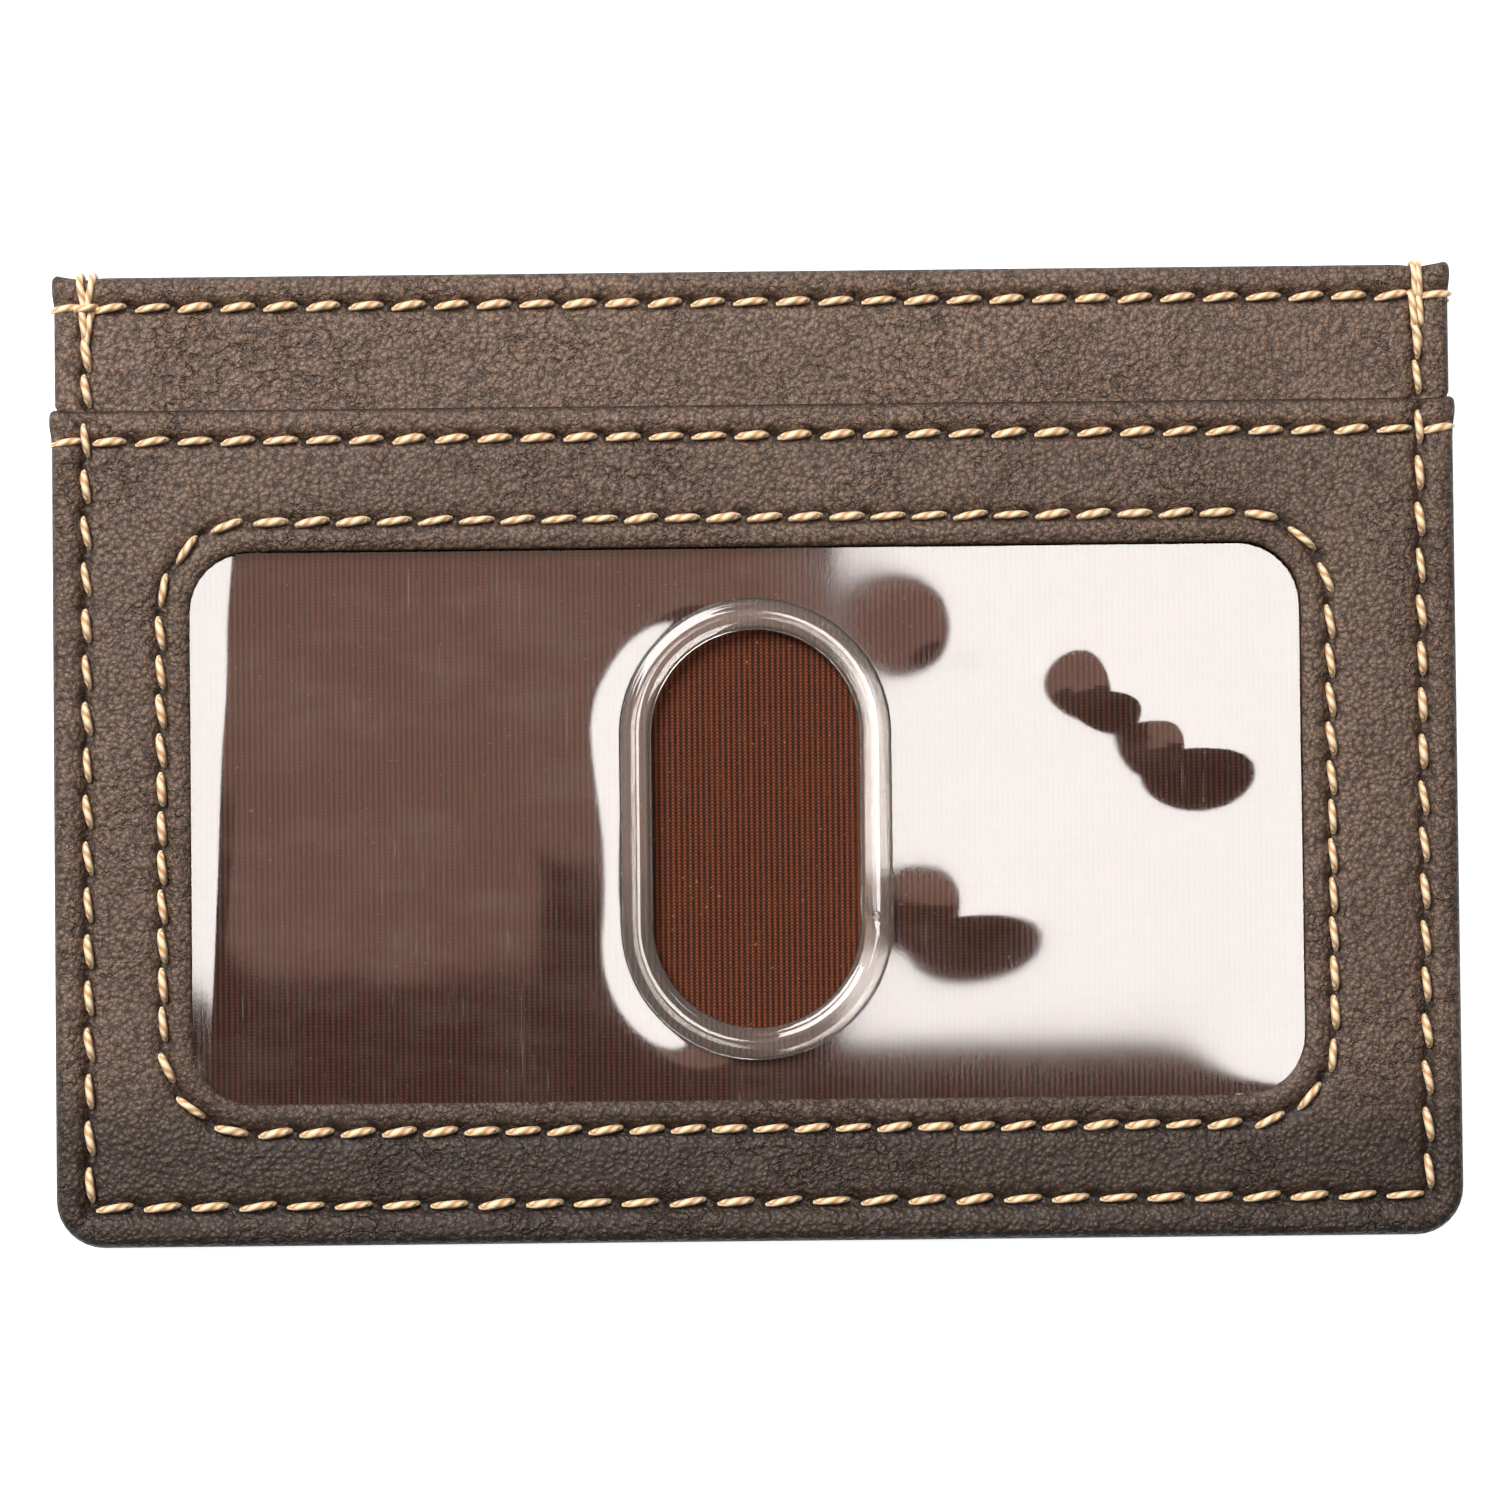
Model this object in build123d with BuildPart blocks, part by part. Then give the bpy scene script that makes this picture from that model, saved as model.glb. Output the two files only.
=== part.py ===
from build123d import *
from math import atan2, degrees, radians, sin
import os

os.makedirs("parts", exist_ok=True)

# Business card case in thin leather with turned edges. It lies on its back: X runs across, +Y points to
# the open edge, +Z out of the side with the clear window. The front half is a windowed pocket for an
# identity card, the back half carries two card slots, and the open pocket between the two halves takes
# the business cards. Every size is in millimetres.

# ---- Driving dimensions -------------------------------------------------------------------------
# Overall outline.
width = 102.5
height = 71.0
corner_radius = 3.5          # bottom corners; the top corners are square

# Sheet goods.
leather = 0.6                # panel leather
hem = 0.3                    # turned-in margin, skived thin
lining = 0.12                # ribbed pocket fabric
board = 0.3                  # bonded-fibre stiffener
vinyl = 0.3                  # clear window sheet
pocket_gap = 0.2             # slack between the two linings of the centre pocket

# Turned edges.
hem_width = 7.0              # margin turned in round the stiffeners
slot_hem = 6.0               # margin turned in along a card slot's mouth
edge_round = 0.45            # rounding of a turned edge
overlap = 9.0                # tail that a panel keeps behind the mouth below it
strip_inset = 0.15           # a strip between two mouths is this much narrower on each side

# Pocket mouths, measured down from the open edge.
window_mouth_drop = 9.9
upper_slot_drop = 10.4
lower_slot_drop = 22.5
slot_floor = 4.5             # the card slots end this far above the bottom edge

# Window cut-out and its borders.
window_left_border = 10.0
window_right_border = 11.3
window_top_drop = 20.3
window_bottom_border = 10.3
window_radius = 4.5
window_seam = 2.1            # seam line outside the cut-out
window_allowance = 1.1       # clear sheet outside that seam

# Thumb slot in the clear sheet.
thumb_width = 15.1
thumb_margin = 3.3           # from the bead to the cut-out's top and bottom edges
thumb_shift_x = 0.65         # from the window's centre
thumb_shift_y = -0.45
bead_width = 2.4
bead_height = 1.2
bead_groove = 0.4            # how far the sheet's edge is let into the bead
bead_round = 0.4

# Linings of the centre pocket.
lining_inset = 1.2           # in from the outline
lining_drop = 4.0            # down from the open edge
fold_width = 3.0

# Seams and thread.
side_seam = 2.5              # seam line in from the side edges
bottom_seam = 2.9
mouth_seam = 2.3             # seam line below each mouth and below the open edge
thread = 0.6                 # width of one stitch
stitch = 2.25                # visible length of one stitch
stitch_pitch = 3.2
window_pitch = 3.0
slant = 8.0                  # degrees that a stitch leans off its seam line
groove_depth = 0.15          # the thread beds into a pressed groove
thread_proud = 0.2           # stitches stand this far above the leather
back_thread = 0.25           # the outermost back stitches are sunk flush with the leather
tack_width = 0.9             # doubled thread over the open edge
tack_length = 4.8
tack_thread = 0.3

# Clearances.
fit = 0.05                   # between layers that lie inside one another
crossing = 0.65              # stitches stop this far from a seam that crosses theirs

# ---- Heights and lines that follow from them ------------------------------------------------------
FRONT = 1
BACK = -1
y_top = height / 2
y_bottom = -height / 2
x_side = width / 2

x_seam = x_side - side_seam
y_bottom_seam = y_bottom + bottom_seam
y_top_seam = y_top - mouth_seam
y_window_mouth = y_top - window_mouth_drop
y_upper_mouth = y_top - upper_slot_drop
y_lower_mouth = y_top - lower_slot_drop

step = leather + hem                                  # each mouth lies this much above the next panel
inside = strip_inset + leather + fit                  # layers inside the wrapped edges start here
front_flange = step + leather + lining + board        # depth of the front half's turned-in margin
back_flange = 2 * step + leather + lining + board     # the same in the back half
front_depth = front_flange + hem
back_depth = back_flange + hem
thickness = back_depth + 2 * lining + pocket_gap + front_depth

window_width = width - window_left_border - window_right_border
window_height = height - window_top_drop - window_bottom_border
x_window = (window_left_border - window_right_border) / 2
y_window = (window_bottom_border - window_top_drop) / 2
sheet_margin = window_seam + window_allowance
y_sheet_top = y_window + window_height / 2 + sheet_margin
window_mouth_hem = y_window_mouth - y_sheet_top - fit
lean = (stitch - thread) * sin(radians(slant))        # a stitch's ends stand this far off its line
bulge = stitch**2 / (4 * (window_radius + window_seam))  # and this far more round the window's corners
groove_width = thread + lean + bulge + 2 * fit
thumb_length = window_height - 2 * (thumb_margin + bead_width)
x_thumb = x_window + thumb_shift_x
y_thumb = y_window + thumb_shift_y


# ---- Outlines ---------------------------------------------------------------------------------------
def at_depth(side, depth):
    """The plane that lies `depth` under the outer face of the front or back half."""
    outer = thickness if side == FRONT else 0
    return Plane.XY.offset(outer - side * depth)


def outline(inset, top, mode=Mode.ADD):
    """The case's outline up to the height `top`, drawn in by `inset`, with round bottom corners."""
    half = x_side - inset
    low = y_bottom + inset
    radius = max(corner_radius - inset, corner_radius / 4)
    with BuildLine() as edge:
        FilletPolyline((-half, top), (-half, low), (half, low), (half, top), radius=radius)
        Line((half, top), (-half, top))
    make_face(edge.edges(), mode=mode)


def band(half, low, high):
    """A rectangle across the case, from the height `low` to the height `high`."""
    with Locations((0, (low + high) / 2)):
        Rectangle(2 * half, high - low)


def window_outline(grow, mode=Mode.ADD):
    """The window's rounded rectangle, grown by `grow` on every side."""
    across = window_width + 2 * grow
    down = window_height + 2 * grow
    with Locations((x_window, y_window)):
        RectangleRounded(across, down, window_radius + grow, mode=mode)


def slot_outline(grow, mode=Mode.ADD):
    """The thumb slot's stadium outline, grown by `grow` on every side."""
    with Locations((x_thumb, y_thumb)):
        SlotOverall(thumb_length + 2 * grow, thumb_width + 2 * grow, rotation=90, mode=mode)


# ---- Leather panels ---------------------------------------------------------------------------------
def cut(side, start, depth):
    """Sinks the pending sketch, which lies at the depth `start`, down to `depth`."""
    extrude(amount=-side * (depth - start), mode=Mode.SUBTRACT)


def press_grooves(side, depth, seams, sink):
    """Presses straight thread grooves into a panel's face. A seam is its two end points."""
    with BuildSketch(at_depth(side, depth)) as grooves:
        for (x0, y0), (x1, y1) in seams:
            with Locations(((x0 + x1) / 2, (y0 + y1) / 2)):
                Rectangle(abs(x1 - x0) + groove_width, abs(y1 - y0) + groove_width)
    extrude(grooves.sketch, amount=-side * sink, mode=Mode.SUBTRACT)


def lower_panel(side, mouth, mouth_hem, flange, sink):
    """A panel that is turned in along both sides and the bottom, with a turned mouth along its top."""
    with BuildPart() as panel:
        with BuildSketch(at_depth(side, 0)):
            outline(0, mouth)
        extrude(amount=-side * (flange + hem))
        flats = panel.faces().filter_by(Axis.Z).sort_by(Axis.Z, reverse=side == FRONT)
        fillet(flats[0].edges(), edge_round)
        flats = panel.faces().filter_by(Axis.Z).sort_by(Axis.Z, reverse=side == FRONT)
        fillet(flats[-1].edges().sort_by(Axis.Y)[:-1], hem / 2)
        with BuildSketch(at_depth(side, leather)):
            outline(leather, mouth - mouth_hem)
        cut(side, leather, step)
        with BuildSketch(at_depth(side, step)):
            outline(leather, mouth + leather)
        cut(side, step, flange)
        with BuildSketch(at_depth(side, flange)):
            outline(hem_width, mouth + leather)
        cut(side, flange, flange + hem)
        seams = [
            ((-x_seam, y_bottom_seam), (x_seam, y_bottom_seam)),
            ((-x_seam, y_bottom_seam), (-x_seam, mouth)),
            ((x_seam, y_bottom_seam), (x_seam, mouth)),
            ((-x_side, mouth - mouth_seam), (x_side, mouth - mouth_seam)),
        ]
        press_grooves(side, 0, seams, sink)
    return panel


def strip_panel(side, depth, low, high, flange, sink, turned_top):
    """A panel that shows between two mouths. It wraps both side edges, and either wraps the open edge
    (turned_top) or has a turned mouth, and its tail runs down behind the mouth below it."""
    half = x_side - strip_inset
    roof = high - leather if turned_top else high + leather
    hem_floor = roof if turned_top else high - slot_hem
    flange_floor = high - hem_width if turned_top else roof
    with BuildPart() as panel:
        with BuildSketch(at_depth(side, depth)):
            band(half, low, high)
        extrude(amount=-side * (flange + hem - depth))
        flats = panel.faces().filter_by(Axis.Z).sort_by(Axis.Z, reverse=side == FRONT)
        fillet(flats[0].edges().sort_by(Axis.Y)[1:], edge_round)
        with BuildSketch(at_depth(side, depth + leather)):
            band(half - leather, low - leather, hem_floor)
        cut(side, depth + leather, depth + step)
        with BuildSketch(at_depth(side, depth + step)):
            band(half - leather, low - leather, roof)
        cut(side, depth + step, flange)
        with BuildSketch(at_depth(side, flange)):
            band(x_side - hem_width, low - leather, flange_floor)
        cut(side, flange, flange + hem)
        with BuildSketch(at_depth(side, depth)):
            band(x_side - inside, low - fit - overlap, low)
        extrude(amount=-side * leather)
        seams = [
            ((-x_seam, low), (-x_seam, high)),
            ((x_seam, low), (x_seam, high)),
            ((-x_side, high - mouth_seam), (x_side, high - mouth_seam)),
        ]
        press_grooves(side, depth, seams, sink)
        if turned_top:
            with BuildSketch(at_depth(side, depth)):
                with Locations((-x_seam, high - tack_thread / 2), (x_seam, high - tack_thread / 2)):
                    Rectangle(tack_width + 2 * fit, tack_thread)
            cut(side, depth, flange + hem)
    return panel


def sheet(side, start, thick, inset, top):
    """A flat layer over the whole outline, from the depth `start` inwards."""
    with BuildPart() as layer:
        with BuildSketch(at_depth(side, start)):
            outline(inset, top)
        extrude(amount=-side * thick)
    return layer


# ---- Threads ----------------------------------------------------------------------------------------
def spot(centre, along):
    """The place of one stitch at `centre`, leaning off a seam that runs in the direction `along`."""
    return Location((centre.X, centre.Y), (0, 0, degrees(atan2(along.Y, along.X)) + slant))


def spots(x0, y0, x1, y1):
    """Places for stitches along a straight seam, evenly spaced."""
    start = Vector(x0, y0)
    run = Vector(x1, y1) - start
    count = max(1, round(run.length / stitch_pitch))
    return [spot(start + run * ((number + 0.5) / count), run) for number in range(count)]


def side_spots(low, high):
    """Places for the stitches of both side seams between two heights."""
    return spots(x_seam, low, x_seam, high) + spots(-x_seam, low, -x_seam, high)


def sew(side, depth, places, length, sink, proud):
    """Adds a row of stitches, bedded `sink` under the face and standing `proud` above it."""
    with BuildSketch(at_depth(side, depth + sink)) as row:
        with Locations(*places):
            SlotOverall(length, thread)
    extrude(row.sketch, amount=side * (sink + proud))


def mouth_thread(side, depth, y, sink, proud):
    """The thread of a seam that runs right across the case: a row between the side seams, and one
    short stitch from each side seam to the edge."""
    end_stitch = side_seam - strip_inset - crossing
    x_end = x_seam + crossing + end_stitch / 2
    ends = [Location((-x_end, y)), Location((x_end, y))]
    with BuildPart() as seam:
        sew(side, depth, spots(-x_seam + crossing, y, x_seam - crossing, y), stitch, sink, proud)
        sew(side, depth, ends, end_stitch, sink, proud)
    return seam


def corner_tack(x):
    """The doubled thread that ties both halves together over the open edge."""
    front_face = thickness - step
    back_face = 2 * step
    z_middle = (front_face + back_face) / 2
    apart = front_face - back_face
    with BuildPart() as tack:
        with BuildSketch(Plane.YZ.offset(x - tack_width / 2)):
            with Locations((y_top, z_middle)):
                Rectangle(tack_length, apart + 2 * thread_proud, align=(Align.MAX, Align.CENTER))
            with Locations((y_top - tack_thread, z_middle)):
                inner = (tack_length, apart - 2 * groove_depth)
                Rectangle(*inner, align=(Align.MAX, Align.CENTER), mode=Mode.SUBTRACT)
        extrude(amount=tack_width)
    return tack


# ---- Front half -------------------------------------------------------------------------------------
# The front panel: leather turned in round the stiffener, with the window cut out of it.
with BuildPart() as front_panel:
    add(lower_panel(FRONT, y_window_mouth, window_mouth_hem, front_flange, groove_depth).part)
    with BuildSketch(at_depth(FRONT, 0)):
        window_outline(0)
    cut(FRONT, 0, leather)
    with BuildSketch(at_depth(FRONT, 0)):
        window_outline(window_seam + groove_width / 2)
        window_outline(window_seam - groove_width / 2, mode=Mode.SUBTRACT)
    cut(FRONT, 0, groove_depth)

# The strip of leather that shows above the window pocket's mouth and wraps the open edge.
front_top_strip = strip_panel(
    FRONT, step, y_window_mouth + fit, y_top, front_flange, groove_depth, turned_top=True
)

# The clear window sheet. The edge of its thumb slot is let into the bead.
with BuildPart() as window_sheet:
    with BuildSketch(at_depth(FRONT, leather)):
        window_outline(sheet_margin)
        slot_outline(bead_width - bead_groove, mode=Mode.SUBTRACT)
    extrude(amount=-vinyl)

# The clear bead: a round-edged rod bent into a stadium, with a groove for the sheet's edge.
bead_top = leather + vinyl / 2 - bead_height / 2
with BuildPart() as thumb_slot_bead:
    with BuildSketch(at_depth(FRONT, bead_top)):
        slot_outline(bead_width)
        slot_outline(0, mode=Mode.SUBTRACT)
    extrude(amount=-bead_height)
    fillet(thumb_slot_bead.faces().filter_by(Axis.Z).edges(), bead_round)
    with BuildSketch(at_depth(FRONT, leather)):
        slot_outline(bead_width + bead_groove)
        slot_outline(bead_width - bead_groove, mode=Mode.SUBTRACT)
    cut(FRONT, leather, leather + vinyl)

# Inside the front half: the ribbed fabric seen through the window, and the stiffener behind it.
id_pocket_lining = sheet(FRONT, step + leather, lining, inside, y_top - inside)
front_stiffener = sheet(FRONT, step + leather + lining, board, inside, y_top - inside)

# ---- Back half --------------------------------------------------------------------------------------
lower_slot_panel = lower_panel(BACK, y_lower_mouth, slot_hem, back_flange, back_thread)
upper_slot_panel = strip_panel(
    BACK, step, y_lower_mouth + fit, y_upper_mouth, back_flange, groove_depth, turned_top=False
)
back_top_strip = strip_panel(
    BACK, 2 * step, y_upper_mouth + fit, y_top, back_flange, groove_depth, turned_top=True
)

# Fabric of the two card slots: a facing behind the lower panel, and a curtain that hangs from the tail
# of the upper panel down to the slots' floor.
x_fabric = x_side - inside
y_floor = y_bottom + slot_floor
y_upper_tail = y_lower_mouth - overlap
with BuildPart() as lower_slot_lining:
    with BuildSketch(at_depth(BACK, leather)):
        band(x_fabric, y_floor, y_lower_mouth - slot_hem - fit)
    extrude(amount=lining)
with BuildPart() as upper_slot_lining:
    with BuildSketch(at_depth(BACK, step + leather)):
        band(x_fabric, y_floor, y_upper_tail + overlap / 2)
    extrude(amount=lining)

# Inside the back half: the fabric behind the slots, and the stiffener.
back_slot_lining = sheet(BACK, 2 * step + leather, lining, inside, y_top - inside)
back_stiffener = sheet(BACK, 2 * step + leather + lining, board, inside, y_top - inside)

# ---- Centre pocket ----------------------------------------------------------------------------------
# Two linings cover the turned-in margins. The front one is folded over along its edges, and the fold
# keeps them apart, so the pocket stays open between them.
y_lining_top = y_top - lining_drop
centre_back_lining = sheet(BACK, back_depth, lining, lining_inset, y_lining_top)
with BuildPart() as centre_front_lining:
    with BuildSketch(at_depth(FRONT, front_depth)):
        outline(lining_inset, y_lining_top)
    extrude(amount=-lining)
    with BuildSketch(at_depth(FRONT, front_depth + lining)):
        outline(lining_inset, y_lining_top)
        outline(lining_inset + fold_width, y_top, mode=Mode.SUBTRACT)
    extrude(amount=-pocket_gap)

# ---- Seams ------------------------------------------------------------------------------------------
# The window seam follows the cut-out at an even distance.
with BuildSketch() as window_line:
    window_outline(window_seam)
seam_wire = window_line.sketch.faces()[0].outer_wire()
window_count = round(seam_wire.length / window_pitch)
window_shares = [number / window_count for number in range(window_count)]
window_spots = [spot(seam_wire @ share, seam_wire % share) for share in window_shares]
with BuildPart() as window_thread:
    sew(FRONT, 0, window_spots, stitch, groove_depth, thread_proud)

y_window_mouth_seam = y_window_mouth - mouth_seam
y_upper_seam = y_upper_mouth - mouth_seam
y_lower_seam = y_lower_mouth - mouth_seam
front_mouth_thread = mouth_thread(FRONT, 0, y_window_mouth_seam, groove_depth, thread_proud)
front_top_thread = mouth_thread(FRONT, step, y_top_seam, groove_depth, thread_proud)
back_top_thread = mouth_thread(BACK, 2 * step, y_top_seam, groove_depth, thread_proud)
upper_slot_thread = mouth_thread(BACK, step, y_upper_seam, groove_depth, thread_proud)
lower_slot_thread = mouth_thread(BACK, 0, y_lower_seam, back_thread, 0)

# The perimeter seam goes through both halves: needle thread in front, bobbin thread behind.
bottom_spots = spots(-x_seam + crossing, y_bottom_seam, x_seam - crossing, y_bottom_seam)
y_side_start = y_bottom_seam + crossing
y_side_end = y_top - tack_length - crossing
with BuildPart() as perimeter_thread_front:
    panel_spots = side_spots(y_side_start, y_window_mouth_seam - crossing) + bottom_spots
    strip_spots = side_spots(y_window_mouth + crossing, y_side_end)
    sew(FRONT, 0, panel_spots, stitch, groove_depth, thread_proud)
    sew(FRONT, step, strip_spots, stitch, groove_depth, thread_proud)
with BuildPart() as perimeter_thread_back:
    lower_spots = side_spots(y_side_start, y_lower_seam - crossing) + bottom_spots
    upper_spots = side_spots(y_lower_mouth + crossing, y_upper_seam - crossing)
    top_spots = side_spots(y_upper_mouth + crossing, y_side_end)
    sew(BACK, 0, lower_spots, stitch, back_thread, 0)
    sew(BACK, step, upper_spots, stitch, groove_depth, thread_proud)
    sew(BACK, 2 * step, top_spots, stitch, groove_depth, thread_proud)

left_corner_tack = corner_tack(-x_seam)
right_corner_tack = corner_tack(x_seam)

# ---- Export -----------------------------------------------------------------------------------------
pieces = {
    "front_panel": front_panel,
    "front_top_strip": front_top_strip,
    "window_sheet": window_sheet,
    "thumb_slot_bead": thumb_slot_bead,
    "id_pocket_lining": id_pocket_lining,
    "front_stiffener": front_stiffener,
    "centre_front_lining": centre_front_lining,
    "centre_back_lining": centre_back_lining,
    "back_stiffener": back_stiffener,
    "back_slot_lining": back_slot_lining,
    "back_top_strip": back_top_strip,
    "upper_slot_panel": upper_slot_panel,
    "upper_slot_lining": upper_slot_lining,
    "lower_slot_panel": lower_slot_panel,
    "lower_slot_lining": lower_slot_lining,
    "window_thread": window_thread,
    "front_mouth_thread": front_mouth_thread,
    "front_top_thread": front_top_thread,
    "back_top_thread": back_top_thread,
    "upper_slot_thread": upper_slot_thread,
    "lower_slot_thread": lower_slot_thread,
    "perimeter_thread_front": perimeter_thread_front,
    "perimeter_thread_back": perimeter_thread_back,
    "left_corner_tack": left_corner_tack,
    "right_corner_tack": right_corner_tack,
}
for name, piece in pieces.items():
    piece.part.label = name
    export_step(piece.part, f"parts/{name}.step")
print(f"case {width} x {height} x {thickness:.2f} mm, {len(pieces)} pieces")
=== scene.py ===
# %% [markdown]
# # A card case in turned-edge leather
# The case is a stack of thin sheets: leather panels with their edges turned in, a clear window sheet with a
# thumb slot, ribbed pocket fabric and tan thread. The measured model comes in as a fixed frame. It could be
# shaded as it is, but its seams and edges are plain, so each cell builds one kind of piece around it: first
# shapes, then thread, then finishes, then the studio.

import functools
import math

import bpy
import numpy as np
from mathutils import Matrix, Vector, noise


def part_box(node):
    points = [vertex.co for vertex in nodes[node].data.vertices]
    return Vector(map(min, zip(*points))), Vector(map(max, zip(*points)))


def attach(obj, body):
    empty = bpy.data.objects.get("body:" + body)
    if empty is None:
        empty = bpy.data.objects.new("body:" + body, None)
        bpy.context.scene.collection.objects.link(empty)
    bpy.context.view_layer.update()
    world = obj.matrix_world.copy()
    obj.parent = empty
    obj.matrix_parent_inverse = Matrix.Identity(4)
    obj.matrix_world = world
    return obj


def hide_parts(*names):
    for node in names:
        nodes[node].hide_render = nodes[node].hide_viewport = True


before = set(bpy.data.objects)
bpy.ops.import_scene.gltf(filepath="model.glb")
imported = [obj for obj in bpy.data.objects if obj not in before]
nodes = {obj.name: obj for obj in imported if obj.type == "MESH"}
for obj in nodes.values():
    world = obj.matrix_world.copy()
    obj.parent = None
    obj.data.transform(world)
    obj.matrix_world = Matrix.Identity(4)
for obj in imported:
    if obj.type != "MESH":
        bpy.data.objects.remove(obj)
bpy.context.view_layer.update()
print("nodes:", len(nodes))

# %% [markdown]
# ## Sizes
# Leather work is drawn in millimetres, so every size below is in millimetres and is turned to metres only
# when a mesh is written. Places could be typed in, but they are read from the frame's own boxes, so the
# pieces follow it. The seam distances are a pattern maker's choice, and the frame's seams have them too.

# %% Sizes
MM = 0.001


def span(node):
    """The lowest and highest corners of a frame node, in millimetres."""
    low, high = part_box(node)
    return np.array(low) / MM, np.array(high) / MM


panel_low, panel_high = span("front_panel")
strip_high = span("front_top_strip")[1]
lower_low, lower_high = span("lower_slot_panel")
upper_low, upper_high = span("upper_slot_panel")
sheet_low, sheet_high = span("window_sheet")
bead_low, bead_high = span("thumb_slot_bead")

X_SIDE, Y_TOP, Y_BOTTOM = panel_high[0], strip_high[1], panel_low[1]
Y_MOUTH, Y_UPPER, Y_LOWER = panel_high[1], upper_high[1], lower_high[1]
Z_FRONT, Z_STRIP = panel_high[2], strip_high[2]
Z_LOWER, Z_UPPER, Z_BACK_STRIP = lower_low[2], upper_low[2], span("back_top_strip")[0][2]
Z_SPLIT = (lower_high[2] + panel_low[2]) / 2

LEATHER = 0.6           # thickness of the hide
TURNED = 0.3            # thickness of the skived margin that is turned in
MARGIN = 7.0            # width of that margin
CORNER = 3.5            # radius of the case's bottom corners
SHARP = 0.35            # radius where an edge meets a mouth
STRIP_SIDE = strip_high[0]
OVERLAP = 9.0           # how far a strip runs on behind the panel in front
SIDE_SEAM, BOTTOM_SEAM, MOUTH_SEAM, WINDOW_SEAM = 2.5, 2.9, 2.3, 2.1
SHEET_MARGIN = 3.2      # how far the clear sheet runs on behind the leather
WINDOW_RADIUS = 4.5
X_SEAM = X_SIDE - SIDE_SEAM
window = (
    sheet_low[0] + SHEET_MARGIN,
    sheet_high[0] - SHEET_MARGIN,
    sheet_low[1] + SHEET_MARGIN,
    sheet_high[1] - SHEET_MARGIN,
)
print("window cut-out", [round(v, 2) for v in window], "split height", round(Z_SPLIT, 2))

# %% [markdown]
# ## Stitch lines
# A lockstitch shows as short leaning dashes, each diving into a needle hole at both ends. Thread and holes
# could be placed one by one, but one list of stitches drives both the dents in the leather and the thread,
# so they always meet. The seams are laid out first, as centre, heading and length of every stitch.

# %% Stitch lists
STITCH = 2.3            # from hole to hole
BOTTOM_STITCH = 2.45
THREAD = 0.6            # diameter
LEAN = math.radians(8)
ROW_PITCH, SIDE_PITCH, STRIP_PITCH, BOTTOM_PITCH = 3.18, 3.36, 3.0, 3.45
WINDOW_PITCH, WINDOW_SIDE_PITCH, CORNER_STITCHES = 3.07, 2.87, 3


def row(x0, y0, x1, y1, pitch, length=STITCH):
    """Evenly spaced stitches on a straight line, as (x, y, heading, length)."""
    run = math.hypot(x1 - x0, y1 - y0)
    count = max(1, round(run / pitch))
    heading = math.atan2(y1 - y0, x1 - x0)
    shares = [(number + 0.5) / count for number in range(count)]
    return [(x0 + (x1 - x0) * s, y0 + (y1 - y0) * s, heading, length) for s in shares]


def corner_row(cx, cy, radius, start, count):
    """Stitches round a quarter turn about (cx, cy), which starts at the angle `start`."""
    turn = math.pi / 2
    angles = [start + turn * (number + 0.5) / count for number in range(count)]
    places = []
    for angle in angles:
        x, y = cx + radius * math.cos(angle), cy + radius * math.sin(angle)
        places.append((x, y, angle + turn, STITCH))
    return places


def side_rows(low, high, pitch=SIDE_PITCH):
    """The stitches of both side seams. Both lean the same way, so both run upwards."""
    return row(-X_SEAM, low, -X_SEAM, high, pitch) + row(X_SEAM, low, X_SEAM, high, pitch)


left, right, low, high = window
corner = WINDOW_RADIUS + WINDOW_SEAM
x0, x1 = left - WINDOW_SEAM, right + WINDOW_SEAM
y0, y1 = low - WINDOW_SEAM, high + WINDOW_SEAM
window_stitches = (
    row(x0 + corner, y0, x1 - corner, y0, WINDOW_PITCH)
    + corner_row(x1 - corner, y0 + corner, corner, -math.pi / 2, CORNER_STITCHES)
    + row(x1, y0 + corner, x1, y1 - corner, WINDOW_SIDE_PITCH)
    + corner_row(x1 - corner, y1 - corner, corner, 0, CORNER_STITCHES)
    + row(x1 - corner, y1, x0 + corner, y1, WINDOW_PITCH)
    + corner_row(x0 + corner, y1 - corner, corner, math.pi / 2, CORNER_STITCHES)
    + row(x0, y1 - corner, x0, y0 + corner, WINDOW_SIDE_PITCH)
    + corner_row(x0 + corner, y0 + corner, corner, math.pi, CORNER_STITCHES)
)
x_end = X_SIDE + 0.45    # the end stitches wrap over the side edges
y_bottom_seam = Y_BOTTOM + BOTTOM_SEAM
mouth_stitches, top_stitches, upper_stitches, lower_stitches = [
    row(-x_end, y - MOUTH_SEAM, x_end, y - MOUTH_SEAM, ROW_PITCH) for y in (Y_MOUTH, Y_TOP, Y_UPPER, Y_LOWER)
]
bottom_stitches = row(-X_SEAM, y_bottom_seam, X_SEAM, y_bottom_seam, BOTTOM_PITCH, BOTTOM_STITCH)
TACK_END = Y_TOP - 4.4   # the tacks take over above this
UNDER_MOUTH, OVER_MOUTH = 0.4, 0.3
panel_sides = side_rows(y_bottom_seam, Y_MOUTH - UNDER_MOUTH)
strip_sides = side_rows(Y_MOUTH + OVER_MOUTH, TACK_END, STRIP_PITCH)
lower_sides = side_rows(y_bottom_seam, Y_LOWER - UNDER_MOUTH)
upper_sides = side_rows(Y_LOWER + OVER_MOUTH, Y_UPPER - UNDER_MOUTH)
back_strip_sides = side_rows(Y_UPPER + OVER_MOUTH, TACK_END, STRIP_PITCH)
print("stitches round the window:", len(window_stitches))

# %% [markdown]
# ## How turned leather lies
# The margin is skived, folded in and sewn, so each edge is a soft roll: a crown between edge and seam, a
# groove where the thread pulls down, a pucker at each needle hole, and a mitre crease at the corners. That
# could be sculpted or simulated. A height formula was chosen, as it gives all of it at any point of a panel,
# the same each run, so one mesh builder serves all five panels.

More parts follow.
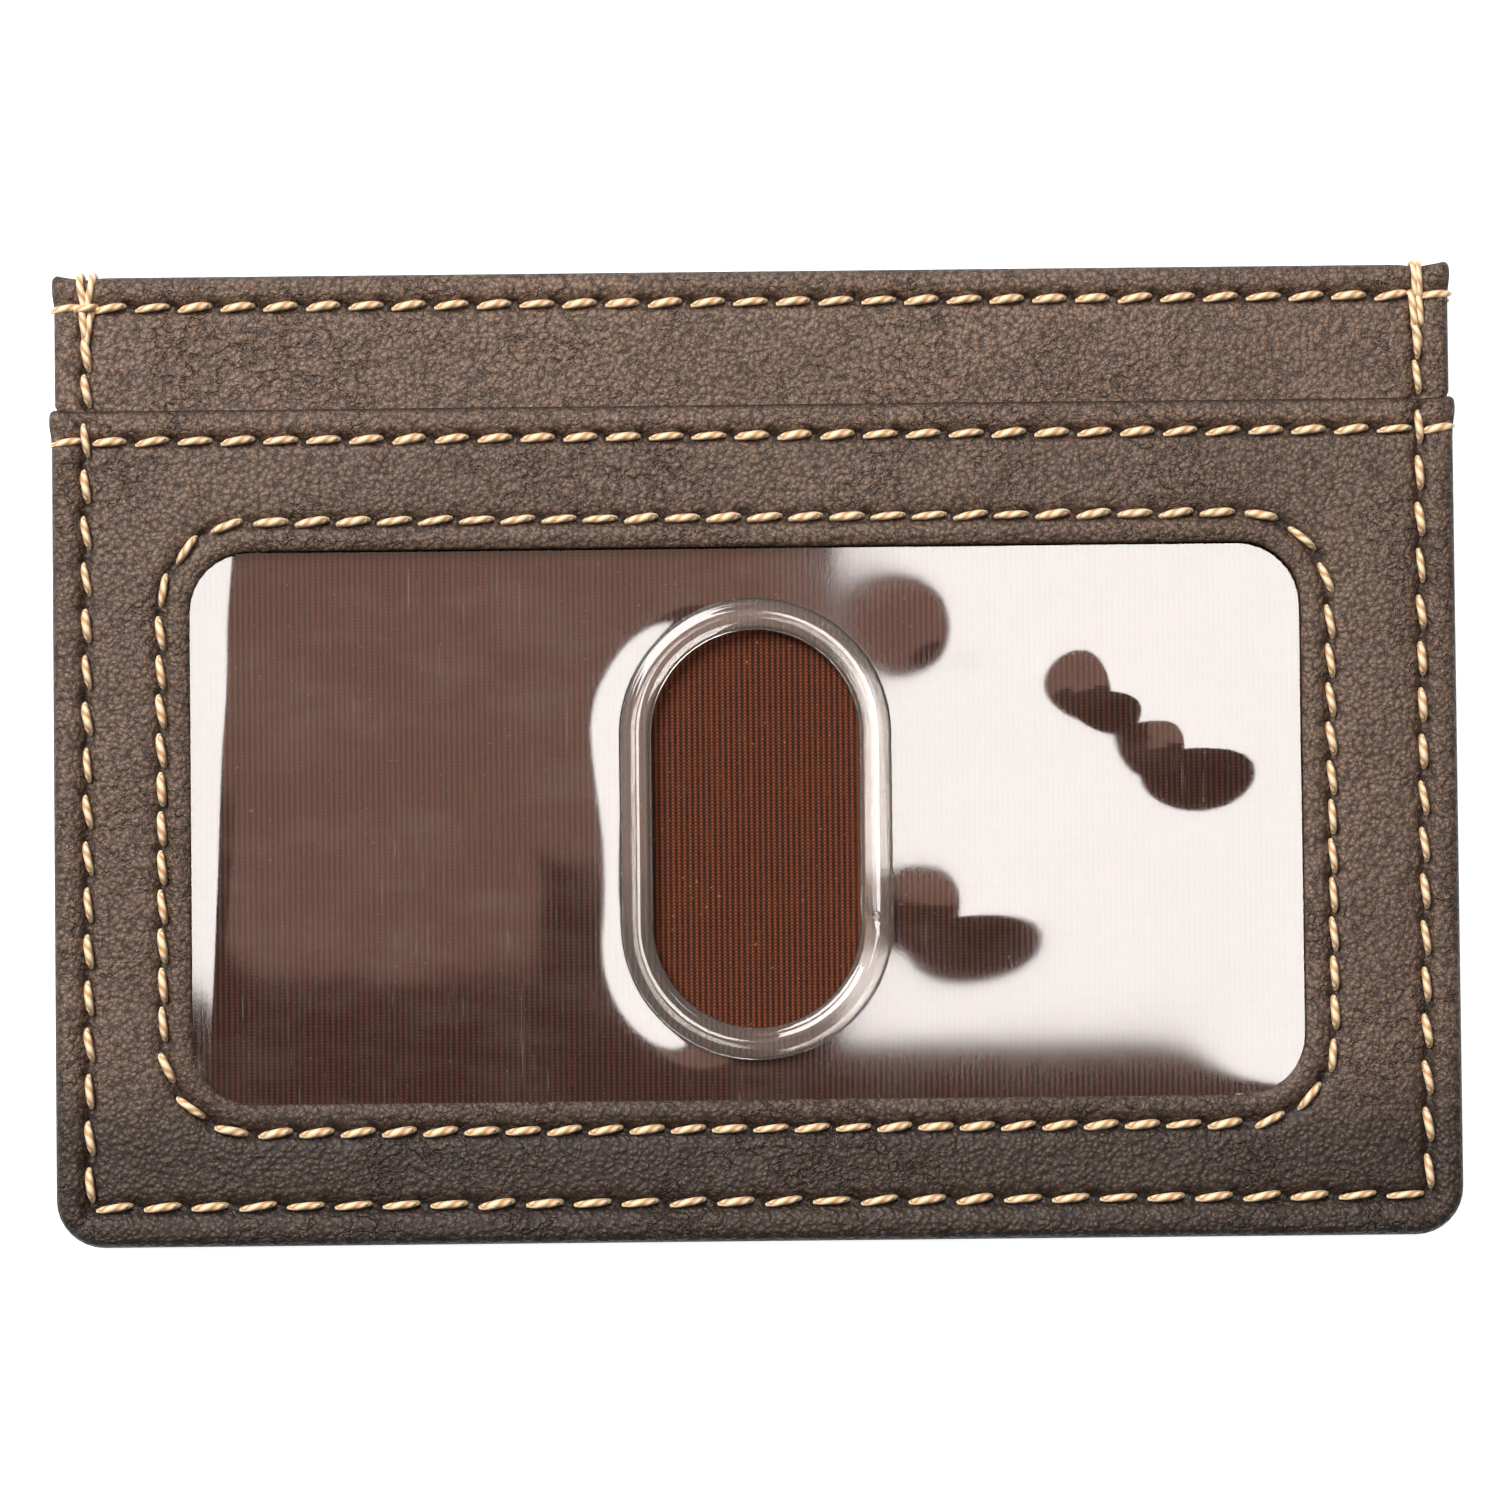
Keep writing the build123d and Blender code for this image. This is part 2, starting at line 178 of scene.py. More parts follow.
# %% Leather relief
CROWN = 0.30                        # heights and half widths of what the seams do to the leather
GROOVE, GROOVE_WIDTH = 0.34, 0.50
HOLE, HOLE_WIDTH = 0.34, 0.32
PUCKER, PUCKER_WIDTH = 0.05, 1.1
LIP, LIP_AT, LIP_WIDTH = 0.12, 0.95, 0.6
CUT_DROP, CUT_WIDTH = 0.14, 0.3
MITRE, MITRE_WIDTH = 0.16, 0.22
UNEVEN = ((0.10, 11.0, 0), (0.05, 3.4, 7))      # height, size and seed of the hide's own swells
FAR = 99.0


def hill(distance, width):
    """A smooth hill from 1 at no distance to about a third at `width`."""
    return np.exp(-((distance / width) ** 2))


def ends_of(stitches):
    """The needle holes of a list of stitches."""
    points = []
    for x, y, heading, length in stitches:
        reach = length / 2
        a = heading + LEAN
        points.append((x - reach * math.cos(a), y - reach * math.sin(a)))
        points.append((x + reach * math.cos(a), y + reach * math.sin(a)))
    return np.array(points)


def to_segment(x, y, segment):
    """The distance of each point from a straight seam."""
    ax, ay, bx, by = segment
    dx, dy = bx - ax, by - ay
    t = np.clip(((x - ax) * dx + (y - ay) * dy) / (dx * dx + dy * dy), 0, 1)
    return np.hypot(x - ax - t * dx, y - ay - t * dy)


def to_rounded(x, y, box, radius):
    """The signed distance of each point from a rounded rectangle, negative inside."""
    left, right, low, high = box
    qx = np.abs(x - (left + right) / 2) - (right - left) / 2 + radius
    qy = np.abs(y - (low + high) / 2) - (high - low) / 2 + radius
    return np.hypot(np.maximum(qx, 0), np.maximum(qy, 0)) + np.minimum(np.maximum(qx, qy), 0) - radius


def to_holes(x, y, holes):
    """The distance of each point from the nearest needle hole."""
    best = np.full(x.shape, FAR)
    for hx, hy in holes:
        best = np.minimum(best, np.hypot(x - hx, y - hy))
    return best


def waves(x, y, size, seed):
    """Soft unevenness with features of about `size` millimetres, from -1 to 1."""
    flat = [noise.noise(Vector((a / size, b / size, seed))) for a, b in zip(x.ravel(), y.ravel())]
    return np.array(flat).reshape(x.shape)


def relief(x, y, panel):
    """Height above the panel's flat face, and how much painted shade each point gets at needle holes and seams,
    from 0 to 1.
    """
    left, right, low, high = panel["outline"]
    edge = np.minimum(np.minimum(x - left, right - x), np.minimum(y - low, high - y))
    band = np.clip(edge / SIDE_SEAM, 0, 1)
    height = CROWN * np.sin(math.pi * band)
    seam = np.full(x.shape, FAR)
    for segment in panel["seams"]:
        seam = np.minimum(seam, to_segment(x, y, segment))
    if panel["hole"]:
        around = to_rounded(x, y, panel["hole"], WINDOW_RADIUS)
        seam = np.minimum(seam, np.abs(around - WINDOW_SEAM))
        height += LIP * hill(around - LIP_AT, LIP_WIDTH)
        height -= CUT_DROP * hill(np.maximum(around, 0), CUT_WIDTH)
    height -= GROOVE * hill(seam, GROOVE_WIDTH)
    holes = to_holes(x, y, panel["holes"])
    height -= HOLE * hill(holes, HOLE_WIDTH)
    height -= PUCKER * hill(holes, PUCKER_WIDTH)
    for cx in (left, right) if panel["mitre"] else ():
        across = np.abs(np.abs(x - cx) - (y - low)) / math.sqrt(2)
        inside_corner = (np.abs(x - cx) < SIDE_SEAM) & (y - low < BOTTOM_SEAM)
        height -= np.where(inside_corner, MITRE * hill(across, MITRE_WIDTH), 0)
    calm = np.clip(edge, 0, 1)
    height += calm * sum(tall * waves(x, y, size, panel["seed"] + more) for tall, size, more in UNEVEN)
    # painted shade: darkest at the needle holes, and half as dark along the seams
    painted_shade = np.maximum(hill(holes, 0.42), 0.5 * hill(seam, 0.45))
    return height, painted_shade


# %% [markdown]
# ## The panel builder
# A turned panel is one closed loop of leather after another: from the window's cut edge out over the face,
# round the rolled edge, down the side wall, and back in under the panel as the turned-in margin. A grid with
# Solidify and Bevel could make it too, but would not fold the margin in. Each loop here is a rounded
# rectangle with the same number of points, so neighbouring loops join into clean quads, closer together
# where a seam needs them.

# %% Rounded loops
CORNER_STEPS = 8


def rounded_loop(box, r_low, r_high, nx, ny):
    """An anticlockwise rounded rectangle with nx points along and ny points up, from its lower left."""
    left, right, low, high = box
    across = np.linspace(0, 1, nx, endpoint=False)
    up = np.linspace(0, 1, ny, endpoint=False)
    turn = np.linspace(0, math.pi / 2, CORNER_STEPS, endpoint=False)
    points = []

    def line(ax, ay, bx, by, shares):
        points.append(np.stack([ax + (bx - ax) * shares, ay + (by - ay) * shares], 1))

    def arc(cx, cy, radius, start):
        points.append(np.stack([cx + radius * np.cos(start + turn), cy + radius * np.sin(start + turn)], 1))

    line(left + r_low, low, right - r_low, low, across)
    arc(right - r_low, low + r_low, r_low, -math.pi / 2)
    line(right, low + r_low, right, high - r_high, up)
    arc(right - r_high, high - r_high, r_high, 0)
    line(right - r_high, high, left + r_high, high, across)
    arc(left + r_high, high - r_high, r_high, math.pi / 2)
    line(left, high - r_high, left, low + r_low, up)
    arc(left + r_low, low + r_low, r_low, math.pi)
    return np.concatenate(points)


def around_values(low, right, high, left, nx, ny):
    """One value per loop point: a value for each side, blended over the corners."""
    blend = np.linspace(0, 1, CORNER_STEPS, endpoint=False)
    parts = []
    for count, value, following in ((nx, low, right), (ny, right, high), (nx, high, left), (ny, left, low)):
        parts.append(np.full(count, float(value)))
        parts.append(value + (following - value) * blend)
    return np.concatenate(parts)


def drawn_in(box, inset):
    """The box with each side moved in by the inset, or out if that is negative."""
    left, right, low, high = box
    return left + inset, right - inset, low + inset, high - inset


def mesh_piece(name, points, faces):
    """A new mesh object at the origin from points in millimetres."""
    mesh = bpy.data.meshes.new(name)
    mesh.from_pydata([tuple(p) for p in np.asarray(points) * MM], [], faces)
    mesh.validate()
    mesh.shade_smooth()
    piece = bpy.data.objects.new(name, mesh)
    bpy.context.scene.collection.objects.link(piece)
    return piece


def ring_faces(rows, columns, flip=False, closed_rows=False):
    """Quads between neighbouring loops of `columns` points each."""
    faces = []
    for r in range(rows if closed_rows else rows - 1):
        a, b = r * columns, ((r + 1) % rows) * columns
        for c in range(columns):
            d = (c + 1) % columns
            quad = (a + c, a + d, b + d, b + c)
            faces.append(quad[::-1] if flip else quad)
    return faces


print("points round a corner:", CORNER_STEPS)

# %% [markdown]
# The sewn ends pull the leather: small ears stand at the corners of a mouth, and the lock stitch dips it
# between them. It could be left straight, but the outline shows it, so the loops are moved after they are
# laid out.

# %% Edge rolls and pulls
EDGE_ROLL, UNDER_ROLL = 0.65, 0.3       # radii of the roll on the face and of the one behind
ROLL_STEPS, UNDER_STEPS = 7, 4
WALL_SHADE, UNDER_SHADE = 0.62, 0.75    # how much painted shade darkens the side wall and the roll under it
FACE_STEP = 0.8                         # between loops in the quiet middle of a face
EAR, EAR_WIDTH, DIP, DIP_WIDTH = 0.25, 0.9, 0.16, 0.8
BULGE, BULGE_WIDTH = 0.2, 1.0
FACE_INSETS = (4.0, 3.6, 3.3, 3.1, 2.95, 2.8, 2.65, 2.5, 2.35, 2.2, 2.05, 1.9, 1.65, 1.4, 1.15, 0.95)
HOLE_OFFSETS = (0.0, 0.12, 0.3, 0.6, 1.0, 1.4, 1.65, 1.8, 1.95, 2.1, 2.25, 2.4, 2.6, 2.95, 3.4)


def tug(xy, high):
    """Pulls the loops where the ends are sewn: small ears at the corners and a dip at the lock stitch."""
    x, y = np.abs(xy[:, 0]), xy[:, 1].copy()
    reach = 1.6
    near_top = np.clip((y - high + reach) / reach, 0, 1) ** 2
    ear = EAR * hill(x - X_SIDE, EAR_WIDTH) - DIP * hill(x - X_SEAM, DIP_WIDTH)
    xy[:, 1] += near_top * ear * (1.0 if high == Y_TOP else 0.4)
    near_side = np.clip((x - X_SIDE + reach) / reach, 0, 1)
    xy[:, 0] += np.sign(xy[:, 0]) * near_side * BULGE * hill(y - high + 0.8, BULGE_WIDTH)


print("edge roll", EDGE_ROLL, "mm,", len(FACE_INSETS), "loops near each edge")

# %% [markdown]
# The builder lays its loops in the order in which the leather runs, and notes for each point how much
# painted shade it gets, at needle holes and seams and on the folded edge. The finish could guess that from the
# height, but a stored number is exact and goes with the mesh.

# %% Turned panel
def turned_panel(node, panel, side, face_z, walls, seals, nx, ny, narrow_below=None):
    """Builds the leather of a frame node. walls say how deep its low, right, high and left edges reach, and
    seals how much further each edge reaches to meet the other half of the case. Each point also stores its
    painted shade."""
    outline = panel["outline"]
    wall = around_values(*walls, nx, ny)
    seal = around_values(*seals, nx, ny)
    r_low, r_high = panel["radii"]
    loops, heights, painted_shades = [], [], []

    def lay(xy, z, painted_shade):
        loops.append(xy)
        heights.append(np.broadcast_to(z, wall.shape).copy())
        painted_shades.append(np.broadcast_to(painted_shade, wall.shape).copy())

    def face_loop(box, radius_low, radius_high):
        xy = rounded_loop(box, radius_low, radius_high, nx, ny)
        lay(xy, *relief(xy[:, 0], xy[:, 1], panel))

    def edge_loop(inset, z, painted_shade=0.0):
        radius = [max(r - inset, 0.25) for r in (r_low, r_high)]
        lay(rounded_loop(drawn_in(outline, inset), *radius, nx, ny), z, painted_shade)

    inner_box = drawn_in(outline, FACE_INSETS[0])
    if panel["hole"]:
        for offset in HOLE_OFFSETS:
            start_box, start_radius = drawn_in(panel["hole"], -offset), WINDOW_RADIUS + offset
            face_loop(start_box, start_radius, start_radius)
        heights[0] -= 0.1
        steps = 12
    else:
        reach = (outline[3] - outline[2]) / 2 - 0.4
        start_box, start_radius = drawn_in(outline, reach), 0.3
        steps = max(4, round((reach - FACE_INSETS[0]) / FACE_STEP))
        face_loop(start_box, start_radius, start_radius)
    for step in range(1, steps):
        t = step / steps
        box = [a + (b - a) * t for a, b in zip(start_box, inner_box)]
        radius = start_radius + (0.6 - start_radius) * t
        face_loop(box, radius, radius)
    for inset in FACE_INSETS:
        face_loop(drawn_in(outline, inset), max(r_low - inset, 0.6), max(r_high - inset, 0.3))
    last = heights[-1]
    top = np.minimum(EDGE_ROLL, wall * 0.55)
    under = np.minimum(UNDER_ROLL, wall * 0.35)
    bottom = wall + seal
    # painted shade: the roll is painted darker step by step as it turns down, and the wall and the roll under
    # it stay painted dark
    for step in range(1, ROLL_STEPS + 1):
        angle = math.pi / 2 * step / ROLL_STEPS
        drop = top * (1 - math.cos(angle))
        edge_loop(EDGE_ROLL * (1 - math.sin(angle)), last * math.cos(angle) - drop, step / ROLL_STEPS)
    for share in (0.25, 0.5, 0.75, 1.0):
        edge_loop(0.02 * math.sin(math.pi * share), -top - (bottom - under - top) * share, WALL_SHADE)
    for step in range(1, UNDER_STEPS + 1):
        angle = math.pi / 2 * step / UNDER_STEPS
        z = -bottom + under * (1 - math.sin(angle))
        edge_loop(UNDER_ROLL * (1 - math.cos(angle)), z, UNDER_SHADE)
    # from here the leather runs back in under the panel
    edge_loop(1.0, -bottom)
    edge_loop(1.25, -wall)
    edge_loop(MARGIN, -wall)
    edge_loop(MARGIN, -wall + TURNED)
    edge_loop(LEATHER, -wall + TURNED)
    edge_loop(LEATHER, -LEATHER)
    edge_loop(FACE_INSETS[0], -LEATHER)
    lay(rounded_loop(start_box, start_radius, start_radius, nx, ny), -LEATHER, 0.0)
    # the window's cut edge is coloured fully dark, partly as dark edge paint and partly as painted shade
    if panel["hole"]:
        lay(rounded_loop(panel["hole"], WINDOW_RADIUS, WINDOW_RADIUS, nx, ny), -LEATHER + 0.02, 1.0)
    rows, columns = len(loops), nx * 2 + ny * 2 + 4 * CORNER_STEPS
    xy = np.concatenate(loops)
    if narrow_below is not None:
        tail = 1 / (1 + np.exp((xy[:, 1] - narrow_below) / 0.12))
        xy[:, 0] *= 1 - tail * (LEATHER + 0.25) / X_SIDE
    tug(xy, outline[3])
    z = face_z + side * np.concatenate(heights)
    faces = ring_faces(rows, columns, flip=side > 0, closed_rows=bool(panel["hole"]))
    if not panel["hole"]:
        first = list(range(columns))
        last_loop = [(rows - 1) * columns + c for c in range(columns)]
        faces.append(first if side > 0 else first[::-1])
        faces.append(last_loop[::-1] if side > 0 else last_loop)
    piece = mesh_piece(node + "_leather", np.column_stack([xy, z]), faces)
    shade = piece.data.attributes.new("painted_edge_and_seam_shade", "FLOAT", "POINT")
    shade.data.foreach_set("value", np.concatenate(painted_shades).astype(np.float32))
    print(piece.name, len(piece.data.polygons), "faces")
    return piece


# %% [markdown]
# Two of the five panels reach the bottom and are mitred at their corners. The other three show only as a
# strip above the panel in front, and run on behind it, a little narrower. Each kind gets a function that
# fills in what is common, because five separate lists of sizes would hide that.

# %% The five panels
seal = panel_low[2] - Z_SPLIT
mouth_wall = LEATHER + TURNED
back_wall = lower_high[2]


def straight_seams(high, seam_low, seam_high):
    """The side seams of a panel and the seam along its mouth, as segments."""
    return [
        (-X_SEAM, seam_low, -X_SEAM, seam_high),
        (X_SEAM, seam_low, X_SEAM, seam_high),
        (-X_SIDE, high - MOUTH_SEAM, X_SIDE, high - MOUTH_SEAM),
    ]


def pocket_panel(node, side, face_z, wall, y_mouth, stitches, seed, nx, ny, hole=None):
    """A panel that reaches the bottom, with rounded and mitred bottom corners."""
    bottom_seam = (-X_SEAM, y_bottom_seam, X_SEAM, y_bottom_seam)
    panel = {
        "outline": (-X_SIDE, X_SIDE, Y_BOTTOM, y_mouth),
        "radii": (CORNER, SHARP),
        "seams": straight_seams(y_mouth, y_bottom_seam, y_mouth) + [bottom_seam],
        "holes": ends_of(stitches),
        "hole": hole,
        "mitre": True,
        "seed": seed,
    }
    walls, seals = (wall, wall, mouth_wall, wall), (seal, seal, 0, seal)
    return turned_panel(node, panel, side, face_z, walls, seals, nx, ny)


def strip_panel(node, side, face_z, wall, top_wall, y_from, y_top, stitches, seed, nx, ny):
    """A panel of which only the part above y_from shows."""
    panel = {
        "outline": (-STRIP_SIDE, STRIP_SIDE, y_from - OVERLAP, y_top),
        "radii": (0.4, 0.4),
        "seams": straight_seams(y_top, y_from, y_top),
        "holes": ends_of(stitches),
        "hole": None,
        "mitre": False,
        "seed": seed,
    }
    walls, seals = (LEATHER, wall, top_wall, wall), (0, seal, 0, seal)
    return turned_panel(node, panel, side, face_z, walls, seals, nx, ny, narrow_below=y_from)


front_stitches = window_stitches + mouth_stitches + bottom_stitches + panel_sides
back_stitches = lower_stitches + bottom_stitches + lower_sides
strip_wall, upper_wall = Z_STRIP - panel_low[2], back_wall - Z_UPPER
back_strip_wall = back_wall - Z_BACK_STRIP
leathers = {
    "front_panel": pocket_panel(
        "front_panel", 1, Z_FRONT, Z_FRONT - panel_low[2], Y_MOUTH, front_stitches, 1.5, 300, 170, window
    ),
    "front_top_strip": strip_panel(
        "front_top_strip", 1, Z_STRIP, strip_wall, strip_wall, Y_MOUTH, Y_TOP,
        top_stitches + strip_sides, 4.5, 300, 60,
    ),
    "lower_slot_panel": pocket_panel(
        "lower_slot_panel", -1, Z_LOWER, back_wall, Y_LOWER, back_stitches, 8.5, 260, 120
    ),
    "upper_slot_panel": strip_panel(
        "upper_slot_panel", -1, Z_UPPER, upper_wall, mouth_wall, Y_LOWER, Y_UPPER,
        upper_stitches + upper_sides, 11.5, 260, 60,
    ),
    "back_top_strip": strip_panel(
        "back_top_strip", -1, Z_BACK_STRIP, back_strip_wall, back_strip_wall, Y_UPPER, Y_TOP,
        top_stitches + back_strip_sides, 14.5, 260, 60,
    ),
}

# %% [markdown]
# ## Nodes
# Thread and finishes are both node trees. Each could have a helper for every kind of node, but the trees
# read most like Blender's own editor when one small function adds any node, by its type name.

# %% Node helper
def add_node(tree, kind, inputs=(), out=0, **settings):
    """Adds a node with its settings, and sets or links its inputs, given in order or by name. Returns its
    output `out`, or all of its outputs when out is None."""
    made = tree.nodes.new(kind)
    for key, value in settings.items():
        setattr(made, key, value)
    for key, value in inputs.items() if isinstance(inputs, dict) else enumerate(inputs):
        if isinstance(value, bpy.types.NodeSocket):
            tree.links.new(value, made.inputs[key])
        else:
            made.inputs[key].default_value = value
    return made.outputs if out is None else made.outputs[out]


# %% [markdown]
# ## Thread
# Every stitch is the same short arch of twisted thread. The arches could be copied in a loop, but one node
# tree makes an arch and sets it on a list of points, so its size can be changed in one place. Each arch dives
# into its needle holes at both ends. The tree turns and fattens every copy a little by a fixed seed, as no
# two stitches on a real seam are quite alike.

# %% Stitch node tree
def stitch_tree():
    """A node tree that turns points with a heading into stitches."""
    tree = bpy.data.node_groups.new("Stitches", "GeometryNodeTree")
    face = tree.interface
    face.new_socket("Geometry", in_out="INPUT", socket_type="NodeSocketGeometry")
    face.new_socket("Geometry", in_out="OUTPUT", socket_type="NodeSocketGeometry")
    inputs = (
        ("Length", "NodeSocketFloat", STITCH * MM),
        ("Radius", "NodeSocketFloat", THREAD / 2 * MM),
        ("Rise", "NodeSocketFloat", 0.1 * MM),
        ("Dive", "NodeSocketFloat", 0.7 * MM),
        ("Flip", "NodeSocketFloat", 0.0),
        ("Seed", "NodeSocketInt", 3),
        ("Material", "NodeSocketMaterial", None),
    )
    for name, kind, value in inputs:
        socket = face.new_socket(name, in_out="INPUT", socket_type=kind)
        if value is not None:
            socket.default_value = value
    add = functools.partial(add_node, tree)
    given = add("NodeGroupInput", out=None)
    half = add("ShaderNodeMath", [given["Length"], 0.5], operation="MULTIPLY")
    minus_half = add("ShaderNodeMath", [half, -1.0], operation="MULTIPLY")
    start = add("ShaderNodeCombineXYZ", [minus_half])
    end = add("ShaderNodeCombineXYZ", [half])
    line = add("GeometryNodeCurvePrimitiveLine", {"Start": start, "End": end})
    line = add("GeometryNodeResampleCurve", {"Curve": line, "Count": 9})
    place = add("GeometryNodeInputPosition")
    x = add("ShaderNodeSeparateXYZ", [place])
    share = add("ShaderNodeMath", [x, half], operation="DIVIDE")
    share = add("ShaderNodeMath", [share], operation="ABSOLUTE")
    steep = add("ShaderNodeMath", [share, 4.0], operation="POWER")
    fall = add("ShaderNodeMath", [steep, given["Dive"]], operation="MULTIPLY")
    rise = add("ShaderNodeMath", [given["Rise"], fall], operation="SUBTRACT")
    lift = add("ShaderNodeCombineXYZ", {"Z": rise})
    arch = add("GeometryNodeSetPosition", {"Geometry": line, "Offset": lift})
    taper = add("ShaderNodeMath", [share, 3.0], operation="POWER")
    taper = add("ShaderNodeMath", [taper, 0.35], operation="MULTIPLY")
    thin = add("ShaderNodeMath", [1.0, taper], operation="SUBTRACT")
    profile = add("GeometryNodeCurvePrimitiveCircle", {"Resolution": 6, "Radius": given["Radius"]})
    tube = add(
        "GeometryNodeCurveToMesh",
        {"Curve": arch, "Profile Curve": profile, "Scale": thin, "Fill Caps": True},
    )
    tube = add("GeometryNodeSetShadeSmooth", {"Geometry": tube})
    local = add(
        "GeometryNodeStoreNamedAttribute",
        {"Geometry": tube, "Name": "stitch_local", "Value": place},
        data_type="FLOAT_VECTOR",
    )
    heading = add("GeometryNodeInputNamedAttribute", {"Name": "heading"}, data_type="FLOAT")
    longer = add("GeometryNodeInputNamedAttribute", {"Name": "stretch"}, data_type="FLOAT")
    sway = add("FunctionNodeRandomValue", {2: -0.07, 3: 0.07, "Seed": given["Seed"]}, 1, data_type="FLOAT")
    fat_seed = add("ShaderNodeMath", [given["Seed"], 11.0], operation="ADD")
    fat = add("FunctionNodeRandomValue", {2: 0.9, 3: 1.1, "Seed": fat_seed}, 1, data_type="FLOAT")
    flip = add("ShaderNodeMath", [given["Flip"], math.pi], operation="MULTIPLY")
    swayed = add("ShaderNodeMath", [heading, sway], operation="ADD")
    turn = add("ShaderNodeCombineXYZ", {"X": flip, "Z": swayed})
    size = add("ShaderNodeCombineXYZ", [longer, fat, fat])
    copies = add(
        "GeometryNodeInstanceOnPoints",
        {"Points": given["Geometry"], "Instance": local, "Rotation": turn, "Scale": size},
    )
    real = add("GeometryNodeRealizeInstances", {"Geometry": copies})
    dressed = add("GeometryNodeSetMaterial", {"Geometry": real, "Material": given["Material"]})
    add("NodeGroupOutput", [dressed], out=None)
    print("stitch tree:", len(tree.nodes), "nodes")
    return tree


# %% [markdown]
# A row is a list of points with a heading and a length on each. The modifier turns them into thread, and its
# result replaces the points, so what is left is a plain mesh. A strand is for thread that runs over an edge,
# where a stitch would be too short: a tube is swept along a smoothed path.

# %% Rows and strands
def stitch_row(name, stitches, heights, seed, flip=0.0):
    """Sews one row: points carry each stitch's place, heading and length, and the tree does the rest."""
    mesh = bpy.data.meshes.new(name)
    places = [(x, y, z) for (x, y, _, _), z in zip(stitches, heights)]
    mesh.from_pydata([tuple(np.array(p) * MM) for p in places], [], [])
    lean = -LEAN if flip else LEAN
    heading = mesh.attributes.new("heading", "FLOAT", "POINT")
    heading.data.foreach_set("value", [h + lean for _, _, h, _ in stitches])
    stretch = mesh.attributes.new("stretch", "FLOAT", "POINT")
    stretch.data.foreach_set("value", [length / STITCH for _, _, _, length in stitches])
    piece = bpy.data.objects.new(name, mesh)
    bpy.context.scene.collection.objects.link(piece)
    sewing = piece.modifiers.new("Sewing", "NODES")
    sewing.node_group = sewing_tree
    sockets = sewing_tree.interface.items_tree
    socket = {item.name: item.identifier for item in sockets if item.in_out == "INPUT"}
    sewing[socket["Seed"]] = seed
    sewing[socket["Flip"]] = flip
    sewing[socket["Material"]] = thread_cloth
    bpy.context.view_layer.update()
    real = bpy.data.meshes.new_from_object(piece.evaluated_get(bpy.context.evaluated_depsgraph_get()))
    piece.modifiers.clear()
    piece.data = real
    print(name, len(stitches), "stitches,", len(real.polygons), "faces")
    return piece


def strand(name, paths, radius, sides=8):
    """Separate lengths of thread along smooth paths, with their own local coordinate for the twist."""
    points, faces, local = [], [], []
    for path in paths:
        raw = np.array(path, float)
        at = np.linspace(0, len(raw) - 1, (len(raw) - 1) * 6 + 1)
        smooth = np.column_stack([np.interp(at, range(len(raw)), raw[:, k]) for k in range(3)])
        for _ in range(6):
            smooth[1:-1] = (smooth[:-2] + 2 * smooth[1:-1] + smooth[2:]) / 4
        along = np.gradient(smooth, axis=0)
        along /= np.linalg.norm(along, axis=1)[:, None]
        run = 0.0
        first = len(points)
        side = Vector((1, 0, 0))
        for number, (p, t) in enumerate(zip(smooth, along)):
            t = Vector(t)
            side = (side - t * side.dot(t)).normalized()
            up = t.cross(side)
            if number:
                run += np.linalg.norm(p - smooth[number - 1])
            for k in range(sides):
                a = 2 * math.pi * k / sides
                points.append(Vector(p) + radius * (math.cos(a) * side + math.sin(a) * up))
                local.append((run * MM, radius * math.cos(a) * MM, radius * math.sin(a) * MM))
        rings = len(smooth)
        for r in range(rings - 1):
            for k in range(sides):
                a, b = first + r * sides, first + (r + 1) * sides
                j = (k + 1) % sides
                faces.append((a + k, a + j, b + j, b + k))
        faces.append([first + k for k in range(sides)][::-1])
        faces.append([first + (rings - 1) * sides + k for k in range(sides)])
    piece = mesh_piece(name, [tuple(p) for p in points], faces)
    twist = piece.data.attributes.new("stitch_local", "FLOAT_VECTOR", "POINT")
    twist.data.foreach_set("vector", np.array(local, np.float32).ravel())
    piece.data.materials.append(thread_cloth)
    return piece


# %% [markdown]
# ## Finishes
# A scanned hide could be wrapped on, but every finish is built from object coordinates in real
# millimetres, so a pore keeps its size and stays in place from any side. Colours are sRGB hex codes, and
# one function turns them to linear light. A layer of noise is listed with its size in millimetres, its
# detail and roughness, its stretch along x and y, and its turn.

# %% Colours and new finishes
def colour(code):
    """Linear RGBA from a hex sRGB code."""
    parts = [int(code[i:i + 2], 16) / 255 for i in (0, 2, 4)]
    return tuple(p / 12.92 if p <= 0.04045 else ((p + 0.055) / 1.055) ** 2.4 for p in parts) + (1.0,)


def new_finish(name):
    """An empty material, with add_node set to its tree."""
    material = bpy.data.materials.new(name)
    material.use_nodes = True
    material.node_tree.nodes.clear()
    return material, functools.partial(add_node, material.node_tree)


def layers(add, table):
    """The noise of each row of a table, on object coordinates."""
    place = add("ShaderNodeTexCoord", out="Object")
    made = []
    for size, detail, rough, stretch_x, stretch_y, turn in table:
        scale = (stretch_x / (size * MM), stretch_y / (size * MM), 1 / (size * MM))
        at = add("ShaderNodeMapping", {"Vector": place, "Scale": scale, "Rotation": (0, 0, turn)})
        inputs = {"Vector": at, "Scale": 1.0, "Detail": detail, "Roughness": rough}
        made.append(add("ShaderNodeTexNoise", inputs))
    return made


def coated(add, base, coats):
    """Lays coats over a base colour. Each is a share, the values of it at which the coat is absent and
    full, how much covers at most, and its colour."""
    for share, low, high, most, coat in coats:
        cover = add("ShaderNodeMapRange", [share, low, high, 0.0, most])
        base = add("ShaderNodeMix", {0: cover, 6: base, 7: coat}, 2, data_type="RGBA")
    return base
